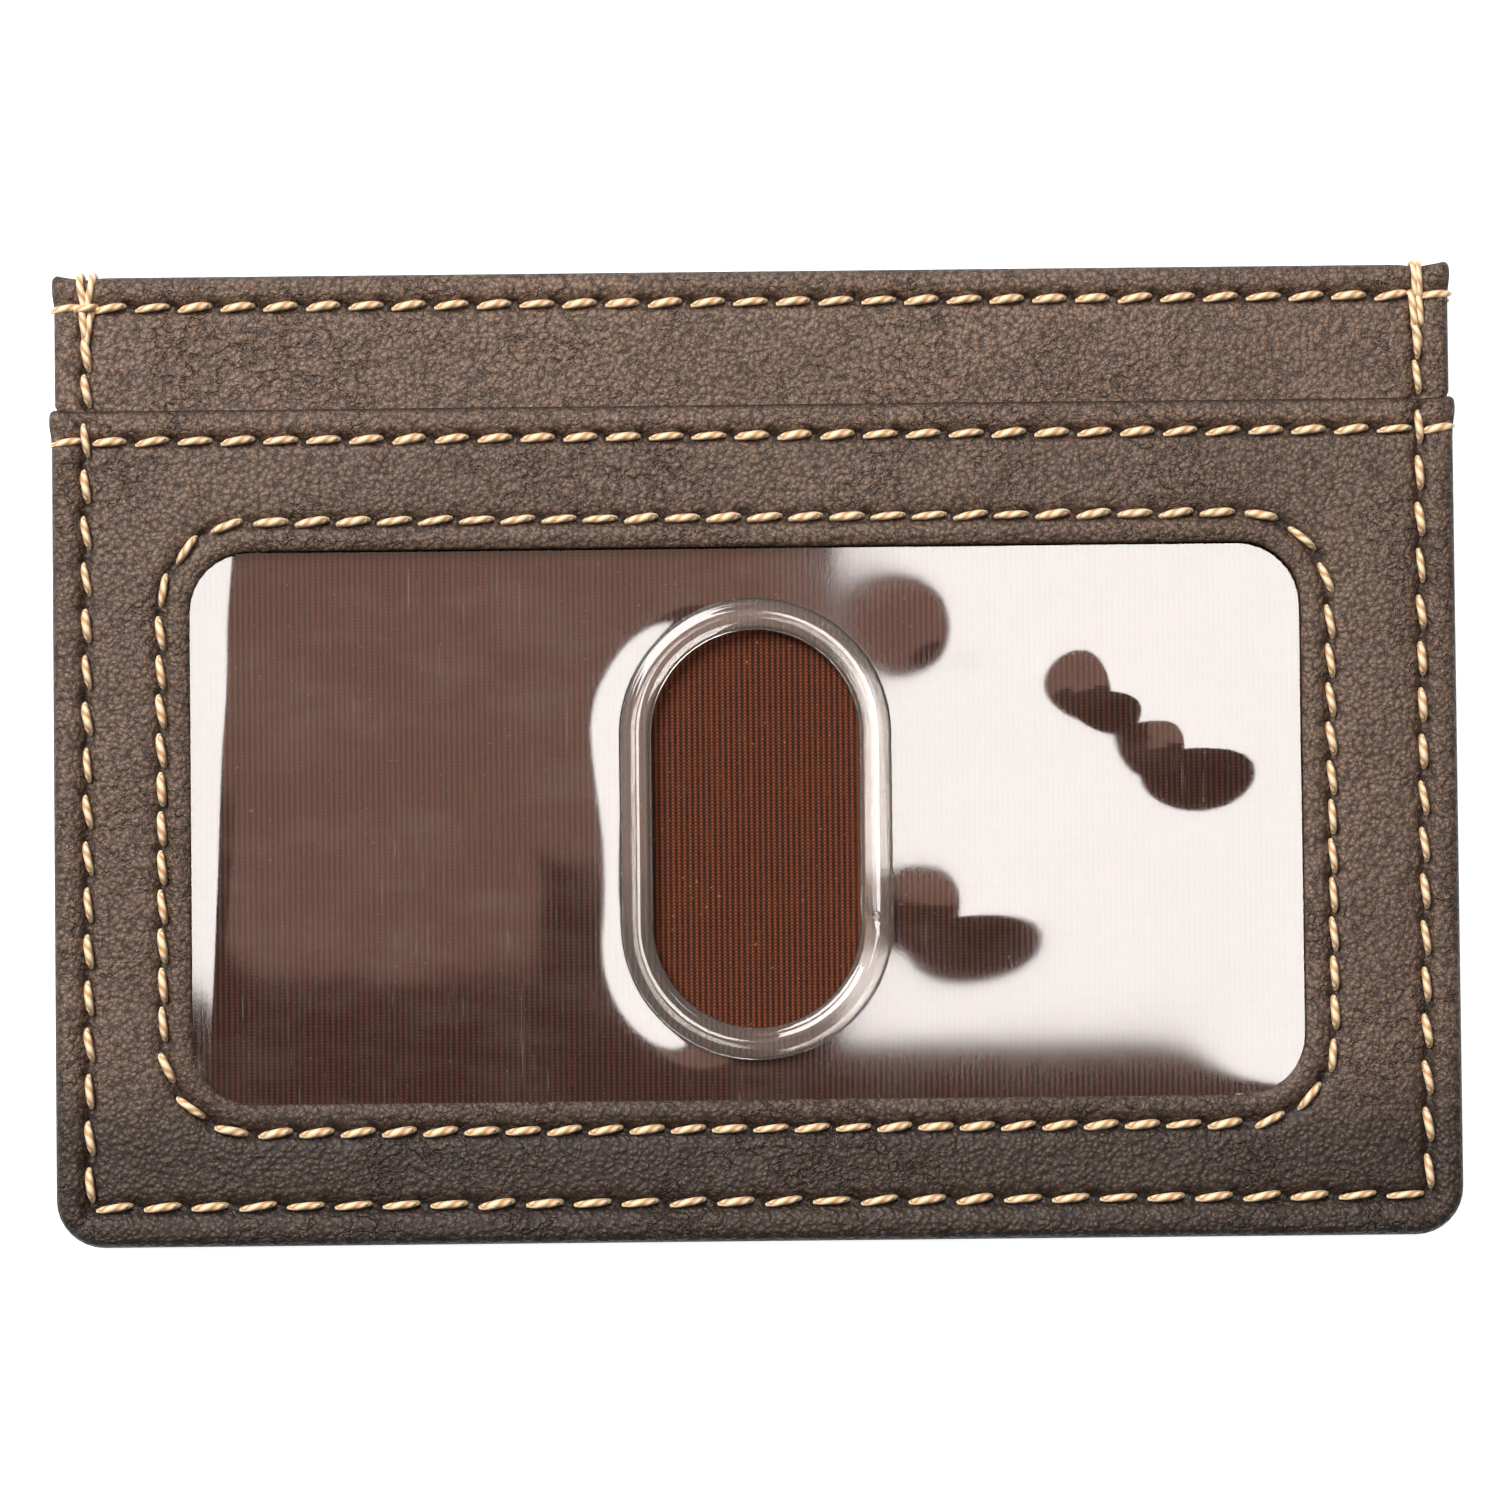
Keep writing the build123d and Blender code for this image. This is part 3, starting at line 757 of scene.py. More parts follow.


# %% [markdown]
# Full-grain calf is drum dyed, waxed and left with its own grain: pebbles under half a millimetre across,
# parted by narrow creases, with longer wrinkles where the hide was stretched. Crease floors and the valleys
# between pebbles are painted darker as painted shade, and fine light flecks are painted glints. The grain
# could be sculpted, but it is finer than the panel's loops, so it is bump and colour. The lower part gets
# painted shade, its bottom fold most of all, and the leather from just under the pocket's mouth up gets painted
# light.

# %% Leather
def leather_finish(name):
    """Dyed calf. The lists are noise layers, warped cells for the pebbles, coats of colour with painted shade
    and glints, and bands of painted light and shade.
    """
    material, add = new_finish(name)
    wrinkle, stretched, pores_and_painted_glints, swell, tone = layers(add, (
        (1.7, 3.0, 0.55, 1.0, 1.25, 0.5),
        (8.0, 2.0, 0.5, 1.0, 1.0, 0.0),
        (0.13, 2.0, 0.6, 1.0, 1.0, 0.0),
        (3.2, 3.0, 0.55, 1.0, 0.7, 0.7),
        (13.0, 3.0, 0.5, 1.0, 1.0, 0.0),
    ))
    place = add("ShaderNodeTexCoord", out="Object")
    warp_at, pebble_at, millimetres = [
        add("ShaderNodeMapping", {"Vector": place, "Scale": [1 / (size * MM)] * 3}) for size in (1.1, 0.40, 1.0)
    ]
    warp = add("ShaderNodeTexNoise", {"Vector": warp_at, "Scale": 1.0, "Detail": 3.0}, "Color")
    bent = add("ShaderNodeVectorMath", [warp, (0.5, 0.5, 0.5)], operation="SUBTRACT")
    bent = add("ShaderNodeVectorMath", {0: bent, "Scale": 1.3}, operation="SCALE")
    bent = add("ShaderNodeVectorMath", [pebble_at, bent], operation="ADD")
    cells = add(
        "ShaderNodeTexVoronoi",
        {"Vector": bent, "Scale": 1.0, "Randomness": 1.0, "Smoothness": 0.4},
        feature="SMOOTH_F1",
    )
    pebble = add("ShaderNodeMapRange", [cells, 0.75, 0.1])
    crease = add("ShaderNodeMath", [wrinkle, 0.5], operation="SUBTRACT")
    crease = add("ShaderNodeMath", [crease], operation="ABSOLUTE")
    crease = add("ShaderNodeMapRange", [crease, 0.0, 0.045, 1.0, 0.0])
    stretched = add("ShaderNodeMapRange", [stretched, 0.42, 0.62])
    crease = add("ShaderNodeMath", [crease, stretched], operation="MULTIPLY")
    flat = add("ShaderNodeMath", [1.0, crease], operation="SUBTRACT")
    painted_shade = add("ShaderNodeAttribute", out="Fac", attribute_name="painted_edge_and_seam_shade")
    base = add("ShaderNodeMapRange", [tone, 0.35, 0.65])
    base = add("ShaderNodeMix", {0: base, 6: colour("5a4536"), 7: colour("6d5646")}, 2, data_type="RGBA")
    painted_valley_shade = add("ShaderNodeMapRange", [pebble, 0.05, 0.75])
    # painted shade in the valleys between pebbles
    base = add("ShaderNodeMix", {0: painted_valley_shade, 6: colour("33261f"), 7: base}, 2, data_type="RGBA")
    base = coated(add, base, (
        # painted shade in the creases
        (crease, 0.0, 1.0, 0.47, colour("2b201a")),
        # painted glints: light flecks that stand for light caught on pebble tops; the same noise also gives the
        # pores' bump
        (pores_and_painted_glints, 0.5, 0.72, 0.55, colour("a18a78")),
        # painted shade at needle holes, along seams and on the folded edges
        (painted_shade, 0.05, 0.9, 1.0, colour("0c0807")),
    ))
    # painted light and shade from top to bottom: the lower part, and most of all the bottom fold, are painted
    # darker, and from just under the pocket's mouth up it is painted lighter
    up = add("ShaderNodeSeparateXYZ", [millimetres], "Y")
    painted_light_falloff = 1.0
    for low, high, at_low, at_high in (
        (Y_BOTTOM + 7.5, Y_BOTTOM + 13.0, 0.37, 1.0),
        (Y_BOTTOM, Y_BOTTOM + 0.9, 0.12, 1.0),
        (Y_MOUTH - 3.0, Y_MOUTH - 1.5, 1.0, 1.26),
    ):
        band = add("ShaderNodeMapRange", [up, low, high, at_low, at_high])
        painted_light_falloff = add("ShaderNodeMath", [painted_light_falloff, band], operation="MULTIPLY")
    grey = add("ShaderNodeCombineColor", [painted_light_falloff] * 3)
    base = add("ShaderNodeMix", {0: 1.0, 6: base, 7: grey}, 2, data_type="RGBA", blend_type="MULTIPLY")
    normal = {}
    for height, tall in ((pores_and_painted_glints, 0.03), (swell, 0.35), (pebble, 0.085), (flat, 0.075)):     # millimetres
        inputs = {"Height": height, "Distance": tall * MM, "Strength": 1.0, **normal}
        normal = {"Normal": add("ShaderNodeBump", inputs)}
    rough = add("ShaderNodeMapRange", [pebble, 0.0, 1.0, 0.62, 0.38])
    shader = {"Base Color": base, "Roughness": rough, "IOR": 1.45, **normal}
    add("ShaderNodeOutputMaterial", [add("ShaderNodeBsdfPrincipled", shader)], out=None)
    return material


# %% [markdown]
# The pocket fabric is a polyester poplin: thick ribs 0.41 mm apart run up the pocket, crossed by finer
# threads, and its dull filaments give hardly any shine. Woven threads could be real geometry, but there are
# thousands of them on a flat sheet, so two sine waves in millimetres give colour and bump: the colour is
# painted highlight on the threads' tops and painted shade between them.

# %% Ribbed fabric
def ribbed_finish(name, dark, light, pitch=0.41):
    material, add = new_finish(name)
    drift, fibre, slub, fleck = layers(add, (
        (2.5, 2.0, 0.5, 1.0, 1.0, 0.0),
        (0.12, 2.0, 0.6, 1.0, 0.35, 0.0),
        (1.4, 2.0, 0.5, 6.0, 0.35, 0.0),
        (0.35, 1.0, 0.5, 1.0, 1.0, 0.0),
    ))
    place = add("ShaderNodeTexCoord", out="Object")
    millimetres = add("ShaderNodeMapping", {"Vector": place, "Scale": [1 / MM] * 3})
    at = add("ShaderNodeSeparateXYZ", [millimetres], None)
    sway = add("ShaderNodeMapRange", [drift, 0.0, 1.0, -0.125, 0.125])
    across = add("ShaderNodeMath", [at["X"], 2 * math.pi / pitch, sway], operation="MULTIPLY_ADD")
    up = add("ShaderNodeMath", [at["Y"], 2 * math.pi / (pitch * 0.62)], operation="MULTIPLY")
    rib = add("ShaderNodeMath", [across], operation="SINE")
    rib = add("ShaderNodeMath", [rib, 0.5, 0.5], operation="MULTIPLY_ADD")
    rib = add("ShaderNodeMath", [rib, 1.6], operation="POWER")
    shift = add("ShaderNodeMath", [across, math.pi], operation="DIVIDE")
    shift = add("ShaderNodeMath", [shift], operation="FLOOR")
    pick = add("ShaderNodeMath", [shift, math.pi, up], operation="MULTIPLY_ADD")
    pick = add("ShaderNodeMath", [pick], operation="SINE")
    pick = add("ShaderNodeMath", [pick, 0.5, 0.5], operation="MULTIPLY_ADD")
    height = add("ShaderNodeMath", [rib, 0.6], operation="MULTIPLY")
    height = add("ShaderNodeMath", [pick, 0.4, height], operation="MULTIPLY_ADD")
    tone = add("ShaderNodeMath", [pick, 0.85, 0.3], operation="MULTIPLY_ADD")
    tone = add("ShaderNodeMath", [rib, tone], operation="MULTIPLY")
    tone = add("ShaderNodeMath", [fibre, 0.45, tone], operation="MULTIPLY_ADD")
    # the dark colour between ribs and picks is painted shade, and the light coat on their tops is painted
    # highlight
    base = coated(add, colour(dark), (
        (tone, 0.12, 1.05, 1.0, colour(light)),
        (slub, 0.55, 0.75, 0.25, colour(light)),
        (fleck, 0.74, 0.8, 0.6, colour("b07a50")),
    ))
    normal = add("ShaderNodeBump", {"Height": height, "Distance": 0.07 * MM, "Strength": 1.0})
    shader = {"Base Color": base, "Roughness": 0.7, "Normal": normal, "Specular IOR Level": 0.2}
    add("ShaderNodeOutputMaterial", [add("ShaderNodeBsdfPrincipled", shader)], out=None)
    return material


# %% [markdown]
# The thread is bonded nylon of three plies: a soft satin gloss, and a twist that shows as slanting lines
# along each stitch. Three real strands would triple the faces of hundreds of stitches, so the twist is drawn
# from each stitch's own coordinates, coarser than it is so that it shows: a bump, with painted shade in the
# grooves between plies and painted highlight on their crowns.

# %% Thread
def thread_finish(name):
    material, add = new_finish(name)
    (fibre,) = layers(add, ((0.1, 2.0, 0.6, 1.0, 1.0, 0.0),))
    local = add("ShaderNodeAttribute", out="Vector", attribute_name="stitch_local")
    local = add("ShaderNodeSeparateXYZ", [local], None)
    turn = add("ShaderNodeMath", [local["Z"], local["Y"]], operation="ARCTAN2")
    run = add("ShaderNodeMath", [local["X"], 2 * math.pi / (1.15 * MM)], operation="MULTIPLY")
    phase = add("ShaderNodeMath", [turn, 2.0, run], operation="MULTIPLY_ADD")
    ply = add("ShaderNodeMath", [phase], operation="SINE")
    ply = add("ShaderNodeMath", [ply, 0.5, 0.5], operation="MULTIPLY_ADD")
    # the dark base is painted shade between the plies, and the light coat is painted highlight on them
    base = coated(add, colour("be8a52"), (
        (ply, 0.0, 0.7, 1.0, colour("fbe0b8")),
        (fibre, 0.4, 0.7, 0.25, colour("ffeccb")),
    ))
    plies = add("ShaderNodeBump", {"Height": ply, "Distance": 0.05 * MM, "Strength": 1.0})
    fuzz = {"Height": fibre, "Distance": 0.02 * MM, "Strength": 1.0, "Normal": plies}
    normal = add("ShaderNodeBump", fuzz)
    shader = {"Base Color": base, "Roughness": 0.5, "Normal": normal, "Sheen Weight": 0.2}
    add("ShaderNodeOutputMaterial", [add("ShaderNodeBsdfPrincipled", shader)], out=None)
    return material


# %% [markdown]
# The window is calendered soft PVC: it lets the lining through and mirrors whatever hangs above it. Handling
# has left faint smears and hairline scratches, which catch a little light on their own. A glass shader would
# bend and darken what lies close behind, so a see-through and a glossy shader are mixed by Fresnel. The rim
# is the same PVC, moulded: see-through in the middle, with painted shade that greys it at grazing angles in
# place of the dark edges that refraction gives.

# %% Clear vinyl
def clear_finish(add, body, gloss_rough, gloss_share):
    """Puts gloss over a clear body, stronger at grazing angles."""
    gloss = add("ShaderNodeBsdfGlossy", {"Color": (1.0, 1.0, 1.0, 1.0), "Roughness": gloss_rough})
    share = add("ShaderNodeFresnel", {"IOR": 1.5})
    share = add("ShaderNodeMath", [share, gloss_share], operation="MULTIPLY")
    add("ShaderNodeOutputMaterial", [add("ShaderNodeMixShader", [share, body, gloss])], out=None)


def vinyl_finish(name):
    material, add = new_finish(name)
    smear, scratch, cross_scratch = layers(add, (
        (7.0, 4.0, 0.6, 1.0, 2.2, 0.5),
        (1.1, 1.0, 0.5, 9.0, 0.25, 0.45),
        (1.3, 1.0, 0.5, 10.0, 0.22, -0.9),
    ))
    scratch = add("ShaderNodeMapRange", [scratch, 0.72, 0.76, 0.0, 0.10])
    cross_scratch = add("ShaderNodeMapRange", [cross_scratch, 0.74, 0.78, 0.0, 0.10])
    marks = add("ShaderNodeMath", [scratch, cross_scratch], operation="MAXIMUM")
    veil = add("ShaderNodeMapRange", [smear, 0.45, 0.8, 0.012, 0.047])
    veil = add("ShaderNodeMath", [veil, marks], operation="ADD")
    clear = add("ShaderNodeBsdfTransparent", {"Color": (0.95, 0.94, 0.93, 1.0)})
    haze = add("ShaderNodeBsdfDiffuse", {"Color": colour("e6dcd4")})
    clear_finish(add, add("ShaderNodeMixShader", [veil, clear, haze]), 0.045, 2.1)
    return material


def rim_finish(name):
    material, add = new_finish(name)
    # painted shade: greyer at grazing angles, for the dark edges that refraction gives
    facing = add("ShaderNodeLayerWeight", {"Blend": 0.45}, "Facing")
    painted_edge_grey = (0.42, 0.39, 0.37, 1.0)
    body = coated(add, (0.97, 0.955, 0.94, 1.0), ((facing, 0.25, 0.95, 1.0, painted_edge_grey),))
    clear = add("ShaderNodeBsdfTransparent", {"Color": body})
    milk = add("ShaderNodeBsdfDiffuse", {"Color": colour("e9e2da")})
    clear_finish(add, add("ShaderNodeMixShader", [0.07, clear, milk]), 0.06, 1.6)
    return material


# %% [markdown]
# The boards are bonded leather fibre, pressed and uncoated: matt, with a fine even tooth. They hardly show,
# so one layer of noise does for both colour and bump.

# %% Board, and the finishes of this case
def board_finish(name):
    material, add = new_finish(name)
    (tooth,) = layers(add, ((0.3, 3.0, 0.6, 1.0, 1.0, 0.0),))
    base = coated(add, colour("7a6a5c"), ((tooth, 0.3, 0.7, 0.35, (0.0, 0.0, 0.0, 1.0)),))
    normal = add("ShaderNodeBump", {"Height": tooth, "Distance": 0.03 * MM, "Strength": 1.0})
    shader = {"Base Color": base, "Roughness": 0.8, "Normal": normal}
    add("ShaderNodeOutputMaterial", [add("ShaderNodeBsdfPrincipled", shader)], out=None)
    return material


leather = leather_finish("full-grain calf leather, dyed dark brown")
ribbed = ribbed_finish("ribbed polyester pocket fabric, brown", "120602", "7c3f24")
plain_cloth = ribbed_finish("plain polyester slot fabric, brown", "1d0d07", "74402a", 0.3)
thread_cloth = thread_finish("bonded nylon thread, tan")
vinyl = vinyl_finish("clear PVC sheet")
clear_rim = rim_finish("clear PVC moulded rim")
board = board_finish("bonded leather board, grey brown")
for piece in leathers.values():
    piece.data.materials.append(leather)
print("finishes:", len(bpy.data.materials))

# %% [markdown]
# ## Sewing the rows
# A stitch bites into the leather it holds, so it sits a hair under the panel's flat face, in the groove that
# the relief pressed there. Rows on the back are turned over. Each could be made by hand, but one call per
# frame node keeps the two lists side by side.

# %% Sew
sewing_tree = stitch_tree()
BITE = 0.02


def sewn(name, node, groups, seed, flip=0.0):
    """One row of thread that stands for a frame node. Groups pair stitches with the face they lie on."""
    stitches, heights = [], []
    side = -1 if flip else 1
    for group, face_z in groups:
        stitches += group
        heights += [face_z - side * BITE] * len(group)
    piece = stitch_row(name, stitches, heights, seed, flip)
    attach(piece, "root")
    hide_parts(node)


sewn("window_stitching", "window_thread", [(window_stitches, Z_FRONT)], 3)
sewn("front_mouth_stitching", "front_mouth_thread", [(mouth_stitches, Z_FRONT)], 4)
sewn("front_top_stitching", "front_top_thread", [(top_stitches, Z_STRIP)], 5)
front_run = [(bottom_stitches + panel_sides, Z_FRONT), (strip_sides, Z_STRIP)]
sewn("front_edge_stitching", "perimeter_thread_front", front_run, 6)
back_run = [
    (bottom_stitches + lower_sides, Z_LOWER),
    (upper_sides, Z_UPPER),
    (back_strip_sides, Z_BACK_STRIP),
]
sewn("back_edge_stitching", "perimeter_thread_back", back_run, 7, 1.0)
sewn("back_top_stitching", "back_top_thread", [(top_stitches, Z_BACK_STRIP)], 8, 1.0)
sewn("upper_slot_stitching", "upper_slot_thread", [(upper_stitches, Z_UPPER)], 9, 1.0)
sewn("lower_slot_stitching", "lower_slot_thread", [(lower_stitches, Z_LOWER)], 10, 1.0)

# %% [markdown]
# The open end is locked by hand at both corners: thread goes over the top edge, is knotted, and the last
# few stitches are sewn twice. The left one splits in a V, and the right one is a single fat strand. The row
# tree can't go round an edge, so these are strands along paths given in millimetres from the seams.

# %% Corner tacks
def over_edge(x_front, x_top, x_back):
    """A path from the top seam over the edge to the back seam."""
    return [
        (x_front, Y_TOP - 2.6, Z_STRIP - 0.35),
        (x_front, Y_TOP - 2.2, Z_STRIP + 0.12),
        (x_front * 0.5 + x_top * 0.5, Y_TOP - 1.2, Z_STRIP + 0.3),
        (x_top, Y_TOP - 0.4, Z_STRIP + 0.22),
        (x_top, Y_TOP + 0.22, Z_STRIP - 0.5),
        (x_top, Y_TOP + 0.25, Z_SPLIT),
        (x_top, Y_TOP + 0.22, Z_BACK_STRIP + 0.5),
        (x_top, Y_TOP - 0.4, Z_BACK_STRIP - 0.22),
        (x_back, Y_TOP - 1.6, Z_BACK_STRIP - 0.28),
        (x_back, Y_TOP - 2.6, Z_BACK_STRIP + 0.3),
    ]


def lock_stitch(x, y, length, lean, lift=0.0):
    """A stitch sewn over another, from y downwards."""
    z = Z_STRIP + lift
    return [
        (x - lean / 2, y, z - 0.4),
        (x - lean / 3, y - 0.25, z + 0.16),
        (x + lean / 3, y - length + 0.25, z + 0.16),
        (x + lean / 2, y - length, z - 0.4),
    ]


xl, xr = -X_SEAM, X_SEAM
left_paths = [over_edge(xl - 0.1, xl - 0.42, xl), over_edge(xl + 0.15, xl + 0.5, xl + 0.1)]
left_paths += [
    [(xl - 0.75, Y_TOP - 2.5, Z_STRIP - 0.3), (xl - 0.4, Y_TOP - 2.35, Z_STRIP + 0.45),
     (xl + 0.3, Y_TOP - 2.3, Z_STRIP + 0.5), (xl + 0.75, Y_TOP - 2.15, Z_STRIP - 0.3)],
    lock_stitch(xl - 0.15, Y_TOP - 2.2, 2.4, 0.35, 0.12),
    lock_stitch(xl + 0.2, Y_TOP - 2.6, 2.5, -0.5, 0.0),
    lock_stitch(xl + 0.05, Y_TOP - 4.6, 1.5, 0.3, 0.0),
]
right_paths = [over_edge(xr - 0.05, xr - 0.12, xr), over_edge(xr + 0.22, xr + 0.16, xr + 0.1)]
right_paths += [
    lock_stitch(xr - 0.25, Y_TOP - 2.1, 2.6, 0.3, 0.1),
    lock_stitch(xr + 0.25, Y_TOP - 2.3, 2.2, 0.2, 0.0),
    lock_stitch(xr + 0.05, Y_TOP - 4.4, 1.6, 0.45, 0.05),
]
for name, node, paths in (
    ("left_lock_stitches", "left_corner_tack", left_paths),
    ("right_lock_stitches", "right_corner_tack", right_paths),
):
    piece = strand(name, paths, 0.27)
    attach(piece, "root")
    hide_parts(node)
    print(name, len(piece.data.polygons), "faces")

# %% [markdown]
# ## The window
# Soft vinyl is never flat. It is held by its seam, sags a little towards the pocket, dips round the heavy
# moulded rim, and carries a few soft dents, which break up what it mirrors. Cloth simulation could give such
# a sag, but not these dents, so a height formula shapes it. The sheet is a ring of loops between its rounded
# outline and the thumb slot.

# %% Window sheet
thumb_x, thumb_y = (bead_low[:2] + bead_high[:2]) / 2
BEAD_WIDTH, BEAD_RISE = 2.4, 0.62
bead_half = (bead_high[:2] - bead_low[:2]) / 2


def stadium_points(grow, angles):
    """Points on the rim's centre line grown by `grow`, one for each direction from the middle."""
    radius = bead_half[0] - BEAD_WIDTH / 2 + grow
    straight = bead_half[1] - bead_half[0]
    points = []
    for a in angles:
        c, s = math.cos(a), math.sin(a)
        if abs(c) * straight <= abs(s) * radius and abs(s) > 1e-9:
            base = math.copysign(straight, s)
            b = -base * s
            root = b * b - (base * base - radius * radius)
            t = -b + math.sqrt(max(root, 0))
        else:
            t = radius / abs(c)
        points.append((thumb_x + t * c, thumb_y + t * s))
    return np.array(points)


def sheet_height(x, y):
    """How far the clear sheet stands above its own flat level, in millimetres."""
    left, right, low, high = window
    inside = np.minimum(np.minimum(x - left, right - x), np.minimum(y - low, high - y))
    # it comes down from the left seam, over a longer reach towards the top
    up = np.clip((y - low) / (high - low), 0, 1)
    reach = 0.75 + 1.9 * up**1.2
    height = -(0.1 + 0.17 * reach) * (1 - np.exp(-np.maximum(x - left, 0) / reach))
    # the heavy rim draws it down on the rim's left
    dx, dy = np.abs(x - thumb_x), np.maximum(np.abs(y - thumb_y) - (bead_half[1] - bead_half[0]), 0)
    from_rim = np.hypot(dx, dy) - bead_half[0]
    ring = np.exp(-np.maximum(from_rim, 0) / 1.9)
    left_side = 1 / (1 + np.exp((x - thumb_x + 3.0) / 1.5))
    height -= 0.14 * ring * left_side * (0.85 + 0.25 * np.sin((y + 3.0) / 3.7))
    dents = (       # centre, half length, half width, turn and height
        (26.6, 5.0, 3.7, 2.7, -0.2, 0.29),
        (32.4, 0.6, 4.0, 3.1, 0.1, 0.36),
        (15.9, -11.4, 4.6, 3.2, 0.1, 0.15),
        (15.4, 9.2, 5.0, 3.4, 0.0, 0.16),
    )
    for cx, cy, long, short, turn, tall in dents:
        u = (x - cx) * math.cos(turn) + (y - cy) * math.sin(turn)
        v = -(x - cx) * math.sin(turn) + (y - cy) * math.cos(turn)
        height += tall * np.exp(-((u / long) ** 2) - (v / short) ** 2)
    # it stands up at the lower right corner, is uneven away from the bottom, and is calm under the leather
    height += 0.14 * hill(np.hypot(x - right, y - low), 5.0)
    free = np.clip((y - low - 5) / 7, 0, 1)
    height += free * (0.006 * waves(x, y, 5.0, 21.5) + 0.02 * waves(x, y, 17.0, 3.5))
    calm = np.clip((inside + 2.6) / 2.0, 0, 1)
    return height * calm


def clear_sheet():
    """The window sheet, from inside the rim to its own edge behind the leather."""
    columns, rows = 360, 64
    angles = [2 * math.pi * k / columns for k in range(columns)]
    inner = stadium_points(-0.8, angles)
    loop = rounded_loop((sheet_low[0], sheet_high[0], sheet_low[1], sheet_high[1]), 7.0, 7.0, 110, 60)
    loop_angle = np.unwrap(np.arctan2(loop[:, 1] - thumb_y, loop[:, 0] - thumb_x))
    order = np.argsort(np.mod(loop_angle, 2 * math.pi))
    turned = np.mod(loop_angle, 2 * math.pi)[order]
    outer = np.column_stack([np.interp(angles, turned, loop[order, k], period=2 * math.pi) for k in (0, 1)])
    shares = np.linspace(0, 1, rows) ** 1.15
    xy = np.concatenate([inner + (outer - inner) * s for s in shares])
    middle = (sheet_low[2] + sheet_high[2]) / 2
    z = middle + sheet_height(xy[:, 0], xy[:, 1])
    faces = ring_faces(rows, columns, flip=True)
    return mesh_piece("clear_window", np.column_stack([xy, z]), faces)


clear_window = clear_sheet()
clear_window.data.materials.append(vinyl)
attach(clear_window, "root")
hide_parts("window_sheet")
print("window sheet", len(clear_window.data.polygons), "faces")
print("first normal z", round(clear_window.data.polygons[0].normal.z, 2))

# %% [markdown]
# The moulded rim is a bead round a stadium. Its top is a soft dome with two fine grooves, and the two ends of
# the moulding butt together on the right, low down. A curve with a bevel profile could make it, but the joint
# and the grooves need points of their own, so its rings are computed.

# %% Thumb-slot rim
def rim():
    """The rim as rings of points, one for each point of its cross-section."""
    profile = []
    steps = 40
    for k in range(steps):
        a = 2 * math.pi * k / steps
        across = BEAD_WIDTH / 2 * math.cos(a)
        up = BEAD_RISE * math.sin(a)
        if math.sin(a) > 0:
            up -= 0.09 * math.exp(-(((across - 0.66) / 0.13) ** 2))
            up -= 0.07 * math.exp(-(((across + 0.6) / 0.13) ** 2))
        profile.append((across, up))
    columns = 240
    angles = [2 * math.pi * k / columns for k in range(columns)]
    middle = (bead_low[2] + bead_high[2]) / 2 + 0.1
    points = []
    joint = math.radians(-38)
    for across, up in profile:
        ring = stadium_points(across, angles)
        for (x, y), a in zip(ring, angles):
            gap = math.exp(-(((a - joint + math.pi) % (2 * math.pi) - math.pi) / 0.012) ** 2)
            points.append((x, y, middle + up * (1 - 0.25 * gap)))
    faces = ring_faces(steps, columns, flip=False, closed_rows=True)
    return mesh_piece("thumb_slot_rim", points, faces)


thumb_rim = rim()
thumb_rim.data.materials.append(clear_rim)
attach(thumb_rim, "root")
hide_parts("thumb_slot_bead")
print("rim area", round(sum(p.area for p in thumb_rim.data.polygons) / MM**2, 1), "mm2")

# %% [markdown]
# ## Linings and boards
# The pocket linings lie flat against their boards and never leave them. They could be rebuilt as sheets, but
# the measured solids already have that shape, so they only get their cloth and board finishes. The leather
# panels take the place of the frame's.

# %% Dress the measured pieces
for node, piece in leathers.items():
    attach(piece, "root")
    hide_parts(node)

cloth_of = {
    "id_pocket_lining": ribbed,
    "centre_front_lining": ribbed,
    "centre_back_lining": ribbed,
    "back_slot_lining": plain_cloth,
    "upper_slot_lining": plain_cloth,
    "lower_slot_lining": plain_cloth,
}
for node in list(cloth_of) + ["front_stiffener", "back_stiffener"]:
    solid = nodes[node]
    finish = cloth_of.get(node, board)
    for slot in range(len(solid.data.materials)):
        solid.material_slots[slot].link = "OBJECT"
        solid.material_slots[slot].material = finish
    if node in cloth_of:
        low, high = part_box(node)

# %% [markdown]
# ## Studio
# The case lies on white board under a bright soft box nearly overhead on the right, which the clear sheet
# mirrors, a wide fill from the upper left, and two dim warm cards that the left of the sheet mirrors. The
# rest is dark. An even sky would be simpler, but then the sheet would mirror nothing with an edge, and the
# grain would look flat.

# %% Stage and lights
def white_board():
    """Matt card that glows a little, so that it stays white under the case's own shadow."""
    material, add = new_finish("white studio board")
    matt = add("ShaderNodeBsdfDiffuse", {"Color": (0.55, 0.55, 0.55, 1.0)})
    glow = add("ShaderNodeEmission", {"Color": (1.0, 1.0, 1.0, 1.0), "Strength": 0.95})
    add("ShaderNodeOutputMaterial", [add("ShaderNodeAddShader", [matt, glow])], out=None)
    return material


def studio_floor(size, z):
    """A square of board under the case."""
    half = size / 2
    mesh = bpy.data.meshes.new("studio_floor")
    corners = [(-half, -half, z), (half, -half, z), (half, half, z), (-half, half, z)]
    mesh.from_pydata(corners, [], [(0, 1, 2, 3)])
    mesh.materials.append(white_board())
    piece = bpy.data.objects.new("studio_floor", mesh)
    bpy.context.scene.collection.objects.link(piece)


studio_floor(3.0, -0.0004)      # just below the thread ends on the back


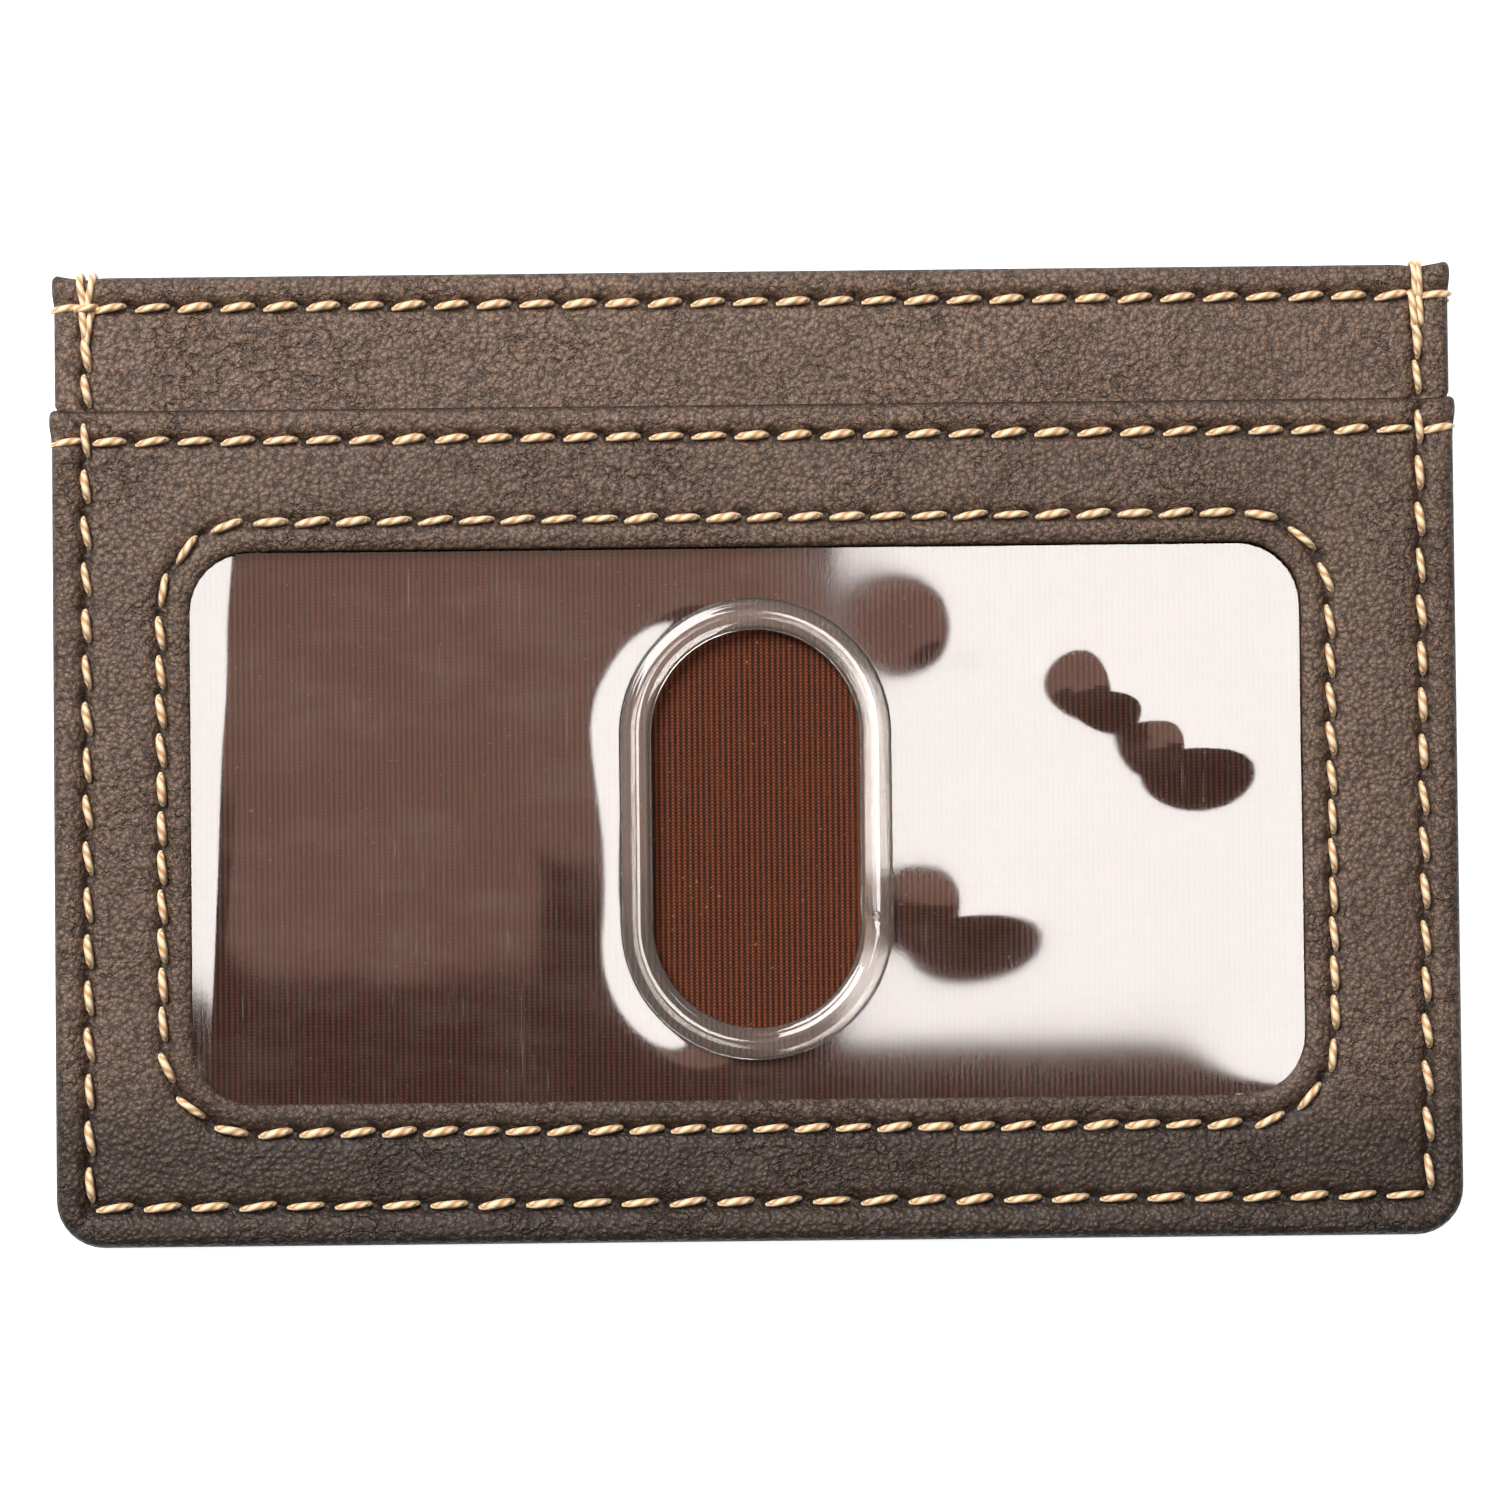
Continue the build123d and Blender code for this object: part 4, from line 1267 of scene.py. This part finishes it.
def soft_box(name, radiance, box, height, tint, face_centre=False):
    """An area light that fills box = (left, right, low, high) in metres at a height, with a set radiance."""
    left, right, low, high = box
    data = bpy.data.lights.new(name, "AREA")
    data.shape = "RECTANGLE"
    data.size, data.size_y = right - left, high - low
    data.energy = radiance * math.pi * data.size * data.size_y
    data.color = tint
    lamp = bpy.data.objects.new(name, data)
    lamp.location = ((left + right) / 2, (low + high) / 2, height)
    if face_centre:
        aim = -Vector(lamp.location)
        lamp.rotation_euler = aim.to_track_quat("-Z", "Y").to_euler()
    bpy.context.scene.collection.objects.link(lamp)
    return lamp


soft_box("key_soft_box", 10.5, (0.018, 0.30, -0.0126, 0.31), 1.0, (1.0, 0.955, 0.925))
soft_box("fill_soft_box", 12.5, (-1.0, -0.2, 0.35, 1.15), 1.0, (1.0, 0.985, 0.97), True)
soft_box("ceiling_card", 0.95, (-0.9, -0.045, 0.006, 0.62), 1.02, (1.0, 0.6, 0.46))
soft_box("ceiling_card_end", 0.95, (-0.045, 0.012, 0.034, 0.62), 1.02, (1.0, 0.6, 0.46))
print("lights:", len(bpy.data.lights))

world = bpy.data.worlds.new("dark studio")
world.use_nodes = True
sky = world.node_tree.nodes["Background"].inputs
sky["Color"].default_value = (0.9, 0.95, 1.0, 1.0)
sky["Strength"].default_value = 0.06
bpy.context.scene.world = world

# %% [markdown]
# ## Camera
# A long lens looks down from half a metre, pitched about two degrees, so the far edge reads a little shorter
# than the near one. The frame is 110 mm wide at the case's face. A lens is usually guessed in millimetres,
# but here it follows from that width and the distance.

# %% Camera
DISTANCE, FRAME_WIDTH, SENSOR = 0.5, 0.1103, 36.0
PITCH, CAMERA_TURN = math.radians(2.2), math.radians(0.6)
camera_data = bpy.data.cameras.new("camera")
camera_data.sensor_width = SENSOR
camera_data.lens = SENSOR * DISTANCE / FRAME_WIDTH
camera_data.clip_start, camera_data.clip_end = 0.01, 20.0
camera = bpy.data.objects.new("camera", camera_data)
aim = Vector((0.00004, -0.00015, Z_FRONT * MM))
back = Vector((0.0, -math.sin(PITCH), math.cos(PITCH)))
level = back.to_track_quat("Z", "Y").to_matrix()
turned = Matrix.Rotation(-CAMERA_TURN, 4, "Z")
camera.matrix_world = Matrix.Translation(aim + back * DISTANCE) @ level.to_4x4() @ turned
bpy.context.scene.collection.objects.link(camera)
bpy.context.scene.camera = camera
bpy.context.scene.view_settings.view_transform = "Standard"
print("lens", round(camera_data.lens, 1), "mm")
